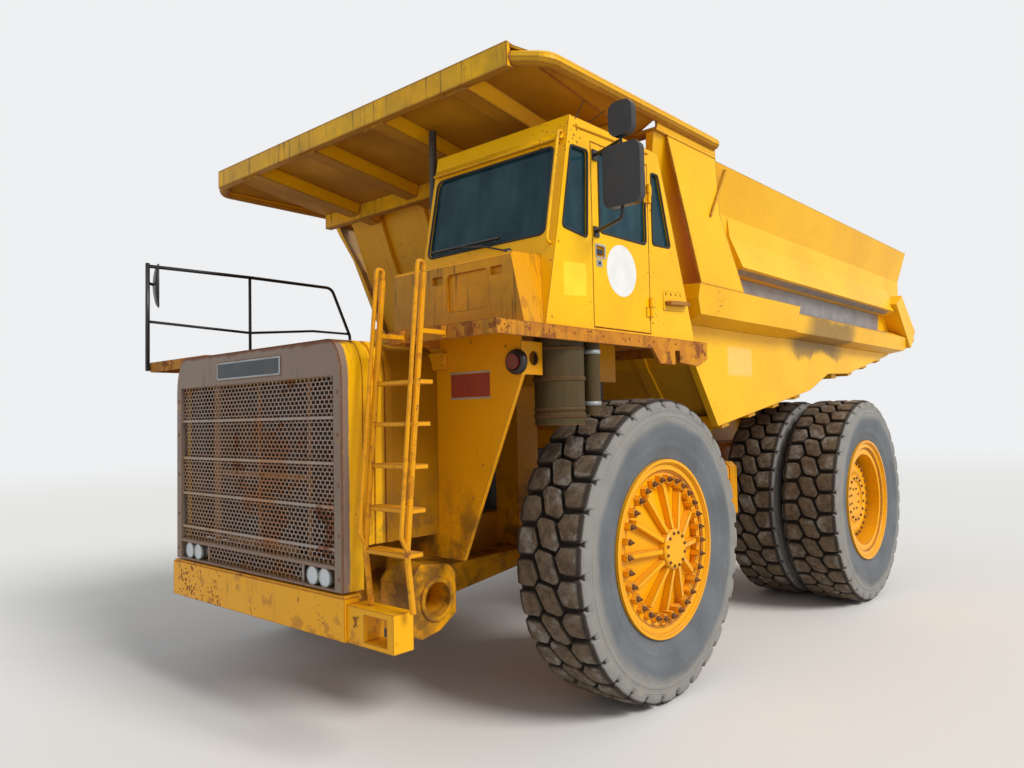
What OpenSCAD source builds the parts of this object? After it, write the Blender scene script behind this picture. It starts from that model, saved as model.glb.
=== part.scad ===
// Rigid-frame off-highway haul truck: two axles, twin rear tyres, canopy dump body, cab on its left.
// Front of the truck is -Y, its left (cab) side is +X, the ground is z = 0.

/* [Tyres and rims] */
// Tyre radius out to the tips of the lugs
tyre_r = 1245; // [1200:5:1280]
// Tyre section width
tyre_w = 660; // [620:5:680]
// Radius of the rim's outer flange
flange_r = 732; // [700:2:760]
// Radius of the rim's barrel, inside
barrel_r = 560; // [540:5:590]

/* [Axles] */
// Distance from front axle to rear axle
wheelbase = 4560; // [4500:10:4620]
// Place of the front axle along the truck
front_axle_y = -2520; // [-2540:5:-2500]
// Middle of a front tyre, from the centre line
front_tyre_x = 2047; // [2040:1:2060]
// Middle of an outer rear tyre, from the centre line
rear_tyre_x = 2199; // [2190:1:2210]
// Distance between the middles of twin tyres
twin_pitch = 740; // [730:5:750]
// Kingpin axis, from the centre line
kingpin_x = 1600; // [1590:1:1610]
// Radius of the front wheel spindle
spindle_r = 110; // [95:1:120]
// Running clearance on spindles and pins
run_gap = 0.3; // [0.2:0.1:0.6]

/* [Frame] */
// Inner face of each frame rail, from the centre line
rail_in = 380; // [360:5:400]
// Width of a frame rail
rail_w = 170; // [150:5:190]
// Top of the rails under the body
rail_top = 1960; // [1940:5:1980]
// Body pivot, along the truck
pivot_y = 3180; // [3150:5:3200]
// Body pivot, height
pivot_z = 1740; // [1720:5:1750]
// Radius of the body pivot pin
pivot_r = 70; // [60:1:80]
// Distance from the bumper's face to the pivot tube of the front arms
arm_setback = 883; // [875:1:895]
// Pivot tube of the front arms, height
arm_pivot_z = 970; // [950:2:990]
// Bore in the end of the pivot tube
arm_bore_r = 129; // [120:1:140]

/* [Bumper and nose] */
// Front face of the bumper
bumper_y = -4975; // [-4975:1:-4970]
// Half width of the bumper
bumper_half = 1272; // [1250:2:1290]
// Depth of the radiator shell
shell_deep = 182; // [170:2:200]
// Half width of the radiator shell
shell_half = 1240; // [1220:2:1250]
// Top of the radiator shell
shell_top = 2930; // [2900:5:2950]
// Wall of the radiator shell beside its mesh
shell_wall = 94; // [80:1:110]
// Bottom of the big mesh panel
mesh_low = 1337; // [1330:1:1345]
// Top of the big mesh panel
mesh_high = 2662; // [2640:1:2680]
// Thickness of sheet metal panels
sheet = 12; // [8:1:16]

/* [Decks] */
// Top of the decks
deck_top = 2990; // [2980:1:3000]
// Depth of the decks' edge beam
deck_deep = 100; // [90:1:110]
// Outer edge of the left deck
deck_left_x = 2330; // [2320:1:2340]
// Distance from the bumper's face to the left deck
deck_left_back = 435; // [430:1:445]
// Outer edge of the right deck
deck_right_x = 2440; // [2420:1:2450]
// Distance from the bumper's face to the right deck
deck_right_back = 295; // [290:1:305]
// Rear edge of both decks
deck_rear_y = -1737; // [-1745:1:-1730]
// Inner edge of both decks beside the hood
deck_in_x = 560; // [550:1:570]

/* [Cab] */
// Outer side of the cab
cab_out_x = 2300; // [2290:1:2310]
// Inner side of the cab
cab_in_x = 885; // [880:1:900]
// Wall of the cab and door
cab_wall = 45; // [35:1:50]
// Top of the cab
cab_top = 4567; // [4550:1:4580]
// Gap round the door
door_gap = 7; // [6:1:10]
// Front edge of the door
door_front_y = -3422; // [-3430:1:-3410]
// Rear edge of the door
door_rear_y = -2636; // [-2645:1:-2625]
// Bottom of the door
door_low = 3018; // [3012:1:3030]
// Top of the door
door_high = 4424; // [4410:1:4430]

/* [Dump body] */
// Rear end of the body
tail_y = 4975; // [4970:1:4975]
// Top edge of the body sides
side_top = 4765; // [4750:1:4780]
// Thickness of the body plates
body_plate = 40; // [30:1:50]
// Front edge of the canopy
canopy_y = -4113; // [-4120:1:-4100]
// Top of the canopy's front edge
canopy_top = 5043; // [5030:1:5050]
// Depth of the canopy's front edge
fascia_deep = 183; // [170:1:190]
// Half width of the canopy's front edge
fascia_half = 2085; // [2070:1:2100]
// Half width of the canopy at its sides
canopy_half = 2370; // [2350:1:2380]

/* [Hidden] */
$fn = 64;
rear_axle_y = front_axle_y + wheelbase;
arm_pivot_y = bumper_y + arm_setback;
deck_left_y = bumper_y + deck_left_back;
deck_right_y = bumper_y + deck_right_back;

// Extrudes an outline drawn in (y, z) from x0 to x1.
module side_plate(x0, x1, outline) {
    translate([x0, 0, 0]) rotate([90, 0, 90]) linear_extrude(x1 - x0) polygon(outline);
}

// Extrudes an outline drawn in (x, z) from y0 to y1.
module front_plate(y0, y1, outline) {
    translate([0, y1, 0]) rotate([90, 0, 0]) linear_extrude(y1 - y0) polygon(outline);
}

// Box from one corner to the opposite one.
module block(low, high) {
    translate(low) cube(high - low);
}

// Round bar between two points.
module bar(p, q, d) {
    v = q - p;
    translate(p) rotate([0, acos(v.z / norm(v)), atan2(v.y, v.x)]) cylinder(h = norm(v), d = d, $fn = 24);
}

// Tube bent through a list of points: a ring of corners at each point of the path, joined by facets.
// The path's corners become arcs, and side_ref is a direction that no stretch of it is parallel to.
tube_sides = 10;
arc_steps = 4;
function unit(v) = v / norm(v);
function turn_angle(p, q, r) = acos(unit(q - p) * unit(r - q));
function corner_arc(p, q, r, bend) = let (u = unit(q - p), v = unit(r - q), w = unit(v - (u * v) * u),
    turn = turn_angle(p, q, r), c = q - u * bend * tan(turn / 2) + w * bend)
    [for (k = [0:arc_steps]) c + bend * (u * sin(turn * k / arc_steps) - w * cos(turn * k / arc_steps))];
function bent_path(points, bend) = [points[0],
    for (i = [1:1:len(points) - 2]) each corner_arc(points[i - 1], points[i], points[i + 1], bend),
    points[len(points) - 1]];
function ring(p, along, radius, side_ref) = let (side = unit(cross(along, side_ref)), rise = cross(side, along))
    [for (j = [0:tube_sides - 1]) p + radius * (side * cos(360 * j / tube_sides)
        + rise * sin(360 * j / tube_sides))];

module tube(points, d, bend, side_ref = [1, 0, 0]) {
    path = bent_path(points, bend);
    last = len(path) - 1;
    corners = [for (i = [0:last]) each ring(path[i], unit((i < last ? unit(path[i + 1] - path[i]) : [0, 0, 0])
        + (i > 0 ? unit(path[i] - path[i - 1]) : [0, 0, 0])), d / 2, side_ref)];
    walls = [for (i = [0:last - 1], j = [0:tube_sides - 1]) let (k = (j + 1) % tube_sides, n = i * tube_sides)
        [n + j, n + k, n + tube_sides + k, n + tube_sides + j]];
    polyhedron(corners, concat([[for (j = [tube_sides - 1:-1:0]) j]], walls,
        [[for (j = [0:tube_sides - 1]) last * tube_sides + j]]));
}

// Cylinder along X, centred at x.
module axle_pin(x0, x1, r, y, z) {
    translate([x0, y, z]) rotate([0, 90, 0]) cylinder(h = x1 - x0, r = r);
}

// Outline with its corners rounded: each corner becomes an arc of four points.
function rounded(points, r) = [for (i = [0:len(points) - 1]) let (n = len(points), p = points[i],
    u = unit(points[(i + n - 1) % n] - p), v = unit(points[(i + 1) % n] - p), half = acos(u * v) / 2,
    c = p + unit(u + v) * r / sin(half), a = p + u * r / tan(half) - c, b = p + v * r / tan(half) - c)
    for (k = [0:3]) c + r * unit(a * (3 - k) + b * k)];
function frame_of(x0, x1, z0, z1) = [[x0, z0], [x1, z0], [x1, z1], [x0, z1]];

module both_sides() {
    children();
    mirror([1, 0, 0]) children();
}

// Frame rails

rail_front_y = bumper_y + 215;
rail_low_top = 1450;
rail_low = 1010;
rail_deep = 360;
rail_step_y = -1000;
nose_rail_top = 1340;
pivot_drop = 240;
cross_tubes = [[-3300, 1200], [-900, 1600], [600, 1780], [1250, 1780], [2900, 1760]];

module frame_rail() difference() {
    union() {
        side_plate(rail_in, rail_in + rail_w, [[rail_front_y, rail_low], [arm_pivot_y - 320, rail_low],
            [arm_pivot_y - 250, arm_pivot_z - pivot_drop], [arm_pivot_y + 250, arm_pivot_z - pivot_drop],
            [arm_pivot_y + 320, rail_low], [-1500, rail_low], [rail_step_y, rail_top - rail_deep],
            [pivot_y, rail_top - rail_deep], [pivot_y, rail_top], [rail_step_y - 200, rail_top],
            [-1500, rail_low_top], [shell_rear_y + 220, rail_low_top], [shell_rear_y + 200, nose_rail_top],
            [rail_front_y, nose_rail_top]]);
        axle_pin(rail_in, rail_in + rail_w, rail_top - pivot_z, pivot_y, pivot_z);
    }
    axle_pin(rail_in - 1, rail_in + rail_w + 1, arm_tube_r + run_gap, arm_pivot_y, arm_pivot_z);
}

module frame_rails() color("goldenrod") {
    both_sides() {
        frame_rail();
        axle_pin(rail_in - 20, rail_in + rail_w + 105, pivot_r, pivot_y, pivot_z);
        side_plate(rail_in + rail_w, rail_in + rail_w + 50, [[hoist_low_y - 160, rail_top - rail_deep + 80],
            [hoist_low_y - 130, hoist_low_z - 100], [hoist_low_y + 130, hoist_low_z - 100],
            [hoist_low_y + 160, rail_top - rail_deep + 80]]);
        axle_pin(rail_in + rail_w + 49, hoist_x + 75, hoist_pin_r, hoist_low_y, hoist_low_z);
        block([rail_in + rail_w, rear_strut_y - 80, 1870], [rear_strut_x + 80, rear_strut_y + 80, 1945]);
    }
    for (t = cross_tubes) axle_pin(-rail_in, rail_in, 130, t[0], t[1]);
}

// Bumper with its step box on the left

step_out_x = 1766;

module bumper() color("goldenrod") {
    front_plate(bumper_y, bumper_y + 130, [[-bumper_half, 838], [bumper_half, 838], [bumper_half, 1130],
        [-bumper_half, 1130]]);
    difference() {
        front_plate(bumper_y + 20, bumper_y + 190, [[bumper_half, 838], [step_out_x, 838],
            [step_out_x, 1090], [bumper_half, 1090]]);
        block([1460, bumper_y, 870], [1700, bumper_y + 300, 1050]);
    }
    front_plate(bumper_y + 8, bumper_y + 150, [[-bumper_half, 1110], [bumper_half, 1110],
        [bumper_half - 20, 1146], [20 - bumper_half, 1146]]);
    both_sides() block([rail_in, bumper_y + 130, 870], [rail_in + rail_w, rail_front_y, 1110]);
}

// Front crossmember: upright columns from the rails and a beam over the wheels

beam_low = 2640;

module front_crossmember() color("goldenrod") {
    both_sides() {
        block([rail_in + rail_w, front_axle_y - 150, arm_top + 10], [830, front_axle_y + 150, beam_low]);
        block([rail_in + rail_w, front_axle_y - 150, beam_low], [1760, front_axle_y + 150, deck_top - sheet]);
    }
}

// Trailing arms on their pivot tube, with the kingpin forks

fork_half = 250;
ear_deep = 80;
arm_in = 585;
arm_top = tyre_r - 105;
arm_out = 900;
arm_tube_r = 160;
pivot_out_x = 1250;
// Casting round the end of the pivot tube, seen from its side
casting = [[-275, 150], [-165, 285], [130, 245], [200, 180], [205, -140], [35, -245], [-160, -280], [-268, -212]];

module front_arms() color("darkgoldenrod") {
    difference() {
        union() {
            axle_pin(1 - pivot_out_x, pivot_out_x - 1, arm_tube_r, arm_pivot_y, arm_pivot_z);
            both_sides() {
                side_plate(arm_out, pivot_out_x - 15, [for (p = casting) p + [arm_pivot_y, arm_pivot_z]]);
                axle_pin(pivot_out_x - 16, pivot_out_x, arm_bore_r + 38, arm_pivot_y, arm_pivot_z);
            }
            both_sides() {
                side_plate(arm_in, arm_out, [[arm_pivot_y, arm_pivot_z - 150], [front_axle_y + 180, arm_top - 100],
                    [front_axle_y + 200, arm_top - 20], [front_axle_y + 200, arm_top], [front_axle_y - 180, arm_top],
                    [arm_pivot_y, arm_pivot_z + 150]]);
            }
        }
        both_sides() axle_pin(1000, 1260, arm_bore_r, arm_pivot_y, arm_pivot_z);
    }
    both_sides() {
        difference() {
            union() {
                block([arm_out, front_axle_y - 130, tyre_r - fork_half], [kingpin_x - 140, front_axle_y + 130,
                    arm_top]);
                for (z = [tyre_r - fork_half, tyre_r + fork_half - ear_deep]) hull() {
                    translate([kingpin_x, front_axle_y, z]) cylinder(h = ear_deep, r = 100);
                    block([kingpin_x - 250, front_axle_y - 130, z], [kingpin_x - 140, front_axle_y + 130,
                        z + ear_deep]);
                }
                block([kingpin_x - 250, front_axle_y - 130, tyre_r - fork_half], [kingpin_x - 140,
                    front_axle_y + 130, tyre_r + fork_half]);
            }
            translate([kingpin_x, front_axle_y, 0]) cylinder(h = 3000, r = 60 + run_gap);
        }
    }
}

// Front struts stand on the kingpin forks

module front_struts() color("dimgray") {
    both_sides() translate([kingpin_x, front_axle_y, 0]) {
        translate([0, 0, tyre_r + fork_half + 10]) cylinder(h = beam_low - tyre_r - fork_half - 10, r = 75);
        translate([0, 0, 1950]) cylinder(h = beam_low - 1950, r = 100);
    }
}

// Panels ahead of the front wheels

fender_y = -4040;
fender_low = 1275;
fender_out_x = 2100;

module front_fenders() color("goldenrod") {
    both_sides() {
        front_plate(fender_y, fender_y + sheet, [[hood_half + 20, fender_low], [1480, fender_low],
            [fender_out_x, 2650], [fender_out_x, deck_top - sheet], [hood_half + 20, deck_top - sheet]]);
        front_plate(fender_y, fender_y + 40, [[1468, fender_low], [1480, fender_low], [fender_out_x, 2650],
            [fender_out_x - 13, 2650]]);
        block([hood_half + 20, fender_y, fender_low], [1480, fender_y + 40, fender_low + sheet]);
        difference() {
            block([fender_out_x - sheet, fender_y, 2650], [fender_out_x, fender_y + 235, 2890]);
            axle_pin(fender_out_x - 20, fender_out_x + 10, 52, fender_y + 140, 2770);
        }
    }
}

// Radiator shell, mesh and core

shell_front_y = bumper_y + 13;
shell_rear_y = shell_front_y + shell_deep;
shell_low = 1160;
corner_w = 162;
corner_h = 287;
mesh_half = shell_half - shell_wall;
lamp_xs = [shell_half - 380, shell_half - 230];
lamp_z = 1243;
// Quarter of an ellipse at the outline's top corner
function top_corner(w, top, c) = [for (a = [0:15:90]) [w - corner_w * c + corner_w * c * cos(a),
    top - corner_h * c + corner_h * c * sin(a)]];
function shell_outline(w, top, c) = let (right = top_corner(w, top, c)) concat([[-w, shell_low], [w, shell_low]],
    right, [for (i = [len(right) - 1:-1:0]) [-right[i].x, right[i].y]]);

module radiator_shell() color("rosybrown") {
    difference() {
        union() {
            front_plate(shell_front_y + 10, shell_rear_y, shell_outline(shell_half, shell_top, 1));
            front_plate(shell_front_y, shell_front_y + 11, shell_outline(shell_half - 12, shell_top - 12, 1));
            front_plate(shell_front_y - 6, shell_front_y + 1, frame_of(-485, 485, mesh_high + 40, mesh_high + 190));
        }
        front_plate(shell_front_y - 1, shell_rear_y + 1, frame_of(-mesh_half, mesh_half, mesh_low, mesh_high));
        front_plate(shell_front_y - 1, shell_rear_y + 1, frame_of(-mesh_half, mesh_half, 1175, 1310));
    }
}

// Mesh panels: slots staggered in bands between four rails, and a low panel between the lamps
rail_zs = [1447, 1740, 2047, 2370];
band_edges = concat([mesh_low], rail_zs, [mesh_high]);
slot_columns = 11;
slot_pitch = 2 * (mesh_half - 30) / slot_columns;
slot_wide = slot_pitch - 46;
function slot_row(z, h, half, count, shift) = [for (i = [0:count - 1]) [30 - half + shift + i * slot_pitch, z, h]];
function band_rows(low, high, shift) = let (rows = max(1, floor((high - low) / 97)), rise = (high - low - 26) / rows)
    [for (k = [0:rows - 1]) each slot_row(low + 13 + k * rise + 12, rise - 24, mesh_half,
        slot_columns - (k + shift) % 2, (k + shift) % 2 * slot_pitch / 2)];
upper_slots = [for (i = [0:len(band_edges) - 2]) each band_rows(band_edges[i], band_edges[i + 1], i)];
lower_slots = slot_row(1202, 80, 7 * slot_pitch / 2 + 7, 7, 0);

module slotted(outer, slots) {
    polygon(concat(outer, [for (q = slots) each [[q.x, q.y], [q.x + slot_wide, q.y],
        [q.x + slot_wide, q.y + q.z], [q.x, q.y + q.z]]]),
        concat([[0, 1, 2, 3]], [for (i = [1:len(slots)]) [for (k = [0:3]) 4 * i + k]]));
}

module mesh_sheet(y) {
    translate([0, y + sheet, 0]) rotate([90, 0, 0]) linear_extrude(sheet) children();
}

module grille_mesh() color("dimgray") {
    mesh_sheet(shell_front_y + 20) slotted(frame_of(run_gap - mesh_half, mesh_half - run_gap,
        mesh_low + run_gap, mesh_high - run_gap), upper_slots);
    for (z = rail_zs) block([-mesh_half + run_gap, shell_front_y + 8, z - 12], [mesh_half - run_gap,
        shell_front_y + 21, z + 12]);
    difference() {
        mesh_sheet(shell_front_y + 30) slotted(frame_of(run_gap - mesh_half, mesh_half - run_gap,
            1175 + run_gap, 1310 - run_gap), lower_slots);
        both_sides() for (x = lamp_xs) translate([x, shell_front_y, lamp_z]) rotate([-90, 0, 0])
            cylinder(h = 100, r = lamp_r + run_gap);
    }
}

module radiator() color("dimgray") {
    block([160 - shell_half, shell_rear_y, nose_rail_top], [shell_half - 160, shell_rear_y + 180, 2650]);
}

// Hood behind the shell, full width ahead of the wheels and narrow between them

hood_break_y = fender_y;
hood_rear_y = -1800;
hood_half = 540;

hood_low = 1460;
// Raised bands over the hood, as parts of its depth ahead of the wheels
hood_bands = [for (b = [[0.014, 0.108], [0.155, 0.243], [0.29, 0.378]]) b * (hood_break_y - shell_rear_y)];

module hood() color("gold") {
    difference() {
        union() {
            front_plate(shell_rear_y, hood_break_y, shell_outline(shell_half - 20, shell_top - 10, 1));
            for (b = hood_bands) front_plate(shell_rear_y + b[0], shell_rear_y + b[1], shell_outline(shell_half - 8,
                shell_top + 2, 1));
        }
        front_plate(shell_rear_y - 1, hood_break_y + 1, shell_outline(shell_half - 20 - sheet,
            shell_top - 10 - sheet, 1));
        block([-2000, shell_rear_y - 1, 1000], [2000, hood_break_y + 1, hood_low]);
    }
    difference() {
        block([-hood_half, hood_break_y, 2350], [hood_half, hood_rear_y, shell_top - 10]);
        block([sheet - hood_half, hood_break_y - 1, 2300], [hood_half - sheet, hood_rear_y + 1,
            shell_top - 10 - sheet]);
    }
}

engine_front_y = shell_rear_y + 480;
engine_rear_y = -2000;
engine_top = 2300;
gearbox_rear_y = -1400;
cradle_low = 1335;

module engine_block() color("darkgray") {
    block([-360, engine_front_y, hood_low], [360, engine_rear_y, engine_top]);
    for (y = [-3750, -2250]) block([-rail_in, y, cradle_low], [rail_in, y + 120, hood_low + 10]);
    block([-300, engine_rear_y + 10, hood_low], [300, gearbox_rear_y, 2000]);
    block([-rail_in, gearbox_rear_y - 300, cradle_low], [rail_in, gearbox_rear_y - 180, hood_low + 10]);
}

// Air cleaner drum and its duct hang under the left deck
drum_x = 2090;
drum_y = fender_y + 440;
drum_low = 2 * tyre_r - 208;

module air_cleaner() color("darkgoldenrod") {
    translate([drum_x, drum_y, drum_low]) cylinder(h = deck_top - sheet - drum_low, r = 188);
    for (z = [drum_low + 60, drum_low + 330]) translate([drum_x, drum_y, z]) cylinder(h = 26, r = 197);
    translate([drum_x + 125, drum_y + 240, drum_low + 70]) cylinder(h = deck_top - sheet - drum_low - 70, r = 64);
}

// Slim dark pipe that stands on the deck beside the cab
pipe_x = cab_in_x - 150;
pipe_y = -3600;
pipe_top = side_top + 105;

module vent_pipe() color("dimgray") difference() {
    union() {
        translate([pipe_x, pipe_y, deck_top]) cylinder(h = pipe_top - deck_top, r = 33);
        translate([pipe_x, pipe_y, deck_top]) cylinder(h = 14, r = 70);
        translate([pipe_x, pipe_y, deck_top + 300]) cylinder(h = 40, r = 42);
    }
    translate([pipe_x, pipe_y, pipe_top - 200]) cylinder(h = 210, r = 28);
}

// Decks over the wheels

module deck(out_x, front_y) {
    difference() {
        linear_extrude(deck_deep) polygon([[shell_half + 5, front_y], [out_x, front_y], [out_x, deck_rear_y],
            [deck_in_x, deck_rear_y], [deck_in_x, fender_y], [shell_half + 5, fender_y]]);
        translate([0, 0, -1]) linear_extrude(deck_deep - sheet + 1) polygon([[shell_half + 25, front_y + 20],
            [out_x - 20, front_y + 20], [out_x - 20, deck_rear_y - 20], [deck_in_x - 1, deck_rear_y - 20],
            [deck_in_x - 1, fender_y], [shell_half + 25, fender_y]]);
    }
}

module deck_left() color("peru") {
    translate([0, 0, deck_top - deck_deep]) deck(deck_left_x, deck_left_y);
    side_plate(deck_left_x - 30, deck_left_x, [[-2660, deck_top - deck_deep + 1], [-2540, 2770], [-2300, 2770],
        [-2300, deck_top - deck_deep + 1]]);
    side_plate(deck_left_x - 30, deck_left_x, [[-2220, deck_top - deck_deep + 1], [-2220, 2790], [-1900, 2770],
        [deck_rear_y, 2840], [deck_rear_y, deck_top - deck_deep + 1]]);
}
module deck_right() color("peru") mirror([1, 0, 0]) translate([0, 0, deck_top - deck_deep])
    deck(deck_right_x, deck_right_y);

// Ladder in front of the left fender

ladder_x = 1630;
ladder_half = 215;
step_zs = [1480, 1765, 2050, 2330, 2610];
ladder_top = 3330;
hand_ahead = 58;
function ladder_y(z) = bumper_y + 53 + (z - 1250) * 0.096;

module ladder() color("gold") {
    for (s = [-1, 1]) {
        x = ladder_x + s * ladder_half;
        tube([[x, bumper_y + 120, 1095], [x, ladder_y(1480), 1480], [x, ladder_y(ladder_top), ladder_top]], 42, 60);
        tube([[x, ladder_y(3290), 3290], [x, ladder_y(3400), 3400], [x, ladder_y(3400) - hand_ahead, 3400],
            [x, ladder_y(1590) - hand_ahead, 1590], [x, ladder_y(1500), 1500]], 30, 24);
        block([x - 18, ladder_y(2930), 2915], [x + 18, deck_left_y - run_gap, 2950]);
        block([x - 18, deck_left_y - 12, 2895], [x + 18, deck_left_y - run_gap, 2985]);
    }
    for (z = step_zs) block([ladder_x - ladder_half - 9, ladder_y(z) - 7, z - 30], [ladder_x + ladder_half + 9,
        ladder_y(z) + 130, z]);
}

// Guard rail along the right deck, with its mirror

rail_x = -2460;
rail_end_y = deck_right_y - 20;

module guard_rail() color("black") {
    bar([rail_x, rail_end_y, 2910], [rail_x, rail_end_y, 4030], 44);
    tube([[rail_x, rail_end_y, 4000], [rail_x, -3540, 4020], [rail_x, -2420, 4020], [rail_x, -2150, 3440],
        [rail_x, -2100, 2910]], 38, 120);
    bar([rail_x, -3540, 2910], [rail_x, -3540, 4012], 34);
    tube([[rail_x, rail_end_y, 3420], [rail_x, -3540, 3380], [rail_x, -2700, 3460], [rail_x, -2170, 3460]], 30, 300);
    bar([rail_x, rail_end_y, 3830], [-2600, rail_end_y + 145, 3830], 30);
    translate([-2600, rail_end_y + 160, 3830]) rotate([90, 0, 24.4]) cylinder(h = 40, r = 235, center = true);
    for (y = [rail_end_y + 15, -3540, -2100]) block([rail_x + 4, y - 34, 2905], [-deck_right_x, y + 34, 2985]);
}

// Cab

cab_profile = [[-4005, deck_top], [-1900, deck_top], [-2455, cab_top], [-3679, cab_top], [-3870, 3600]];
function cab_inset(t) = [[-4005 + t, deck_top + t], [-1900 - t * 1.2, deck_top + t], [-2455 - t, cab_top - t],
    [-3679 + t * 0.8, cab_top - t], [-3870 + t, 3600]];
quarter_front = rounded([[-3790, 3717], [-3494, 3680], [-3466, 4345], [-3672, 4340]], 30);
quarter_rear = rounded([[-2572, 3768], [-2285, 3780], [-2465, 4374], [-2572, 4374]], 30);
inner_window = rounded([[-3740, 3660], [-2700, 3660], [-2700, 4330], [-3640, 4330]], 50);
door_window = rounded([[door_front_y + 92, 3750], [door_rear_y - 38, 3750], [door_rear_y - 38, door_high - 42],
    [door_front_y + 92, door_high - 42]], 45);
screen_low = 3670;
screen_high = 4345;
screen = rounded(frame_of(cab_in_x + 50, cab_out_x - 110, screen_low, screen_high), 60);
back_low = 3700;
back_high = 4250;
function front_at(z) = -3870 + (z - 3600) * 191 / 967;
function back_at(z) = -1900 - (z - deck_top) * 555 / 1577;
function pane(y_low, y_high, z_low, z_high, t) = [[y_low, z_low], [y_low + t, z_low], [y_high + t, z_high],
    [y_high, z_high]];
grab_x = cab_out_x - 45;
glass_in = 18;
glass_t = 6;

module cab_shell() color("gold") {
    difference() {
        side_plate(cab_in_x, cab_out_x, cab_profile);
        side_plate(cab_in_x + cab_wall, cab_out_x - cab_wall, cab_inset(cab_wall));
        block([cab_out_x - cab_wall - 1, door_front_y - door_gap, door_low - door_gap], [cab_out_x + 1,
            door_rear_y + door_gap, door_high + door_gap]);
        side_plate(cab_out_x - cab_wall - 1, cab_out_x + 1, quarter_front);
        side_plate(cab_in_x - 1, cab_out_x + 1, quarter_rear);
        side_plate(cab_in_x - 1, cab_in_x + cab_wall + 1, inner_window);
        front_plate(-4100, -3500, screen);
        block([1100, -2600, back_low], [2150, -1900, back_high]);
    }
    side_plate(cab_in_x + 30, cab_out_x - 30, [[front_at(4385) + 5, 4385], [front_at(4385) - 46, 4376],
        [front_at(4385) - 46, 4388], [front_at(4450) + 5, 4450]]);
    bar([cab_out_x + 4, -3605, 4500], [cab_out_x + 4, -2618, 4530], 24);
    tube([[grab_x, front_at(4440) + 12, 4440], [grab_x, front_at(4440) - 50, 4440], [grab_x, front_at(3590) - 50,
        3590], [grab_x, front_at(3590) + 12, 3590]], 26, 30);
    for (z = hinge_zs) {
        block([cab_out_x, hinge_y + door_gap + 2, z + hinge_h + 2], [cab_out_x + 8, hinge_y + 70, z + 2 * hinge_h]);
        block([cab_out_x + 1, hinge_y, z + hinge_h + 2], [cab_out_x + 8, hinge_y + 30, z + 2 * hinge_h]);
        translate([hinge_x, hinge_y, z + hinge_h + 2]) cylinder(h = hinge_h - 2, r = 18);
        translate([hinge_x, hinge_y, z]) cylinder(h = 2 * hinge_h, r = 9);
    }
}

module cab_glass() color("lightblue") {
    side_plate(cab_out_x - glass_in - glass_t, cab_out_x - glass_in, quarter_front);
    side_plate(cab_out_x - glass_in - glass_t, cab_out_x - glass_in, quarter_rear);
    side_plate(cab_in_x + glass_in, cab_in_x + glass_in + glass_t, quarter_rear);
    side_plate(cab_in_x + glass_in, cab_in_x + glass_in + glass_t, inner_window);
    intersection() {
        side_plate(cab_in_x, cab_out_x, pane(front_at(3500) + glass_in, front_at(4500) + glass_in, 3500, 4500,
            glass_t));
        front_plate(-4100, -3500, screen);
    }
    side_plate(1100, 2150, pane(back_at(back_low) - glass_in - glass_t, back_at(back_high) - glass_in - glass_t,
        back_low, back_high, glass_t));
}

seat_x = 1730;
seat_y = -2850;

module cab_seat() color("dimgray") {
    block([seat_x - 190, seat_y - 170, deck_top + cab_wall], [seat_x + 190, seat_y + 170, 3300]);
    block([seat_x - 250, seat_y - 250, 3300], [seat_x + 250, seat_y + 240, 3430]);
    side_plate(seat_x - 240, seat_x + 240, [[seat_y + 110, 3425], [seat_y + 240, 3425], [seat_y + 300, 4010],
        [seat_y + 200, 4010]]);
    side_plate(seat_x - 130, seat_x + 130, [[seat_y + 215, 4000], [seat_y + 290, 4000], [seat_y + 305, 4190],
        [seat_y + 225, 4190]]);
}

// Dashboard, steering column and steering wheel
wheel_y = seat_y - 560;
wheel_z = 3770;

module cab_controls() color("dimgray") {
    side_plate(cab_in_x + cab_wall + 10, cab_out_x - cab_wall - 10, [[-3900, 3100], [-3640, 3100], [-3640, 3480],
        [-3590, 3560], [-3610, 3650], [-3800, 3650], [-3800, 3400], [-3900, 3200]]);
    bar([seat_x, -3630, 3560], [seat_x, wheel_y, wheel_z], 60);
    translate([seat_x, wheel_y, wheel_z]) rotate([-50, 0, 0]) {
        rotate_extrude() translate([205, 0]) circle(r = 16, $fn = 16);
        for (a = [90, 210, 330]) rotate([0, 0, a]) block([0, -16, -8], [205, 16, 8]);
        translate([0, 0, -14]) cylinder(h = 28, r = 48);
    }
    for (x = [seat_x - 110, seat_x + 110]) block([x - 40, -3700, deck_top + cab_wall], [x + 40, -3660, 3110]);
}

module cab_locker() color("goldenrod") {
    difference() {
        intersection() {
            front_plate(-4222, -3800, [[cab_in_x + 40, deck_top], [2290, deck_top], [2150, 3600],
                [cab_in_x + 40, 3600]]);
            side_plate(900, 2300, [[-4222, deck_top], [-4006, deck_top], [-3890, 3515], [-4190, 3500],
                [-4222, 3470]]);
        }
        front_plate(-4300, -4200, rounded(frame_of(1540, 1965, 3128, 3406), 40));
        for (x = [1386, 1984]) front_plate(-4300, -4190, frame_of(x, x + 110, 3350, 3407));
    }
}

// Door with its mirrors, hinged at its rear edge

hinge_x = cab_out_x + 18;
hinge_y = door_rear_y;
hinge_h = 80;
hinge_zs = [3150, 4100];

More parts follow.
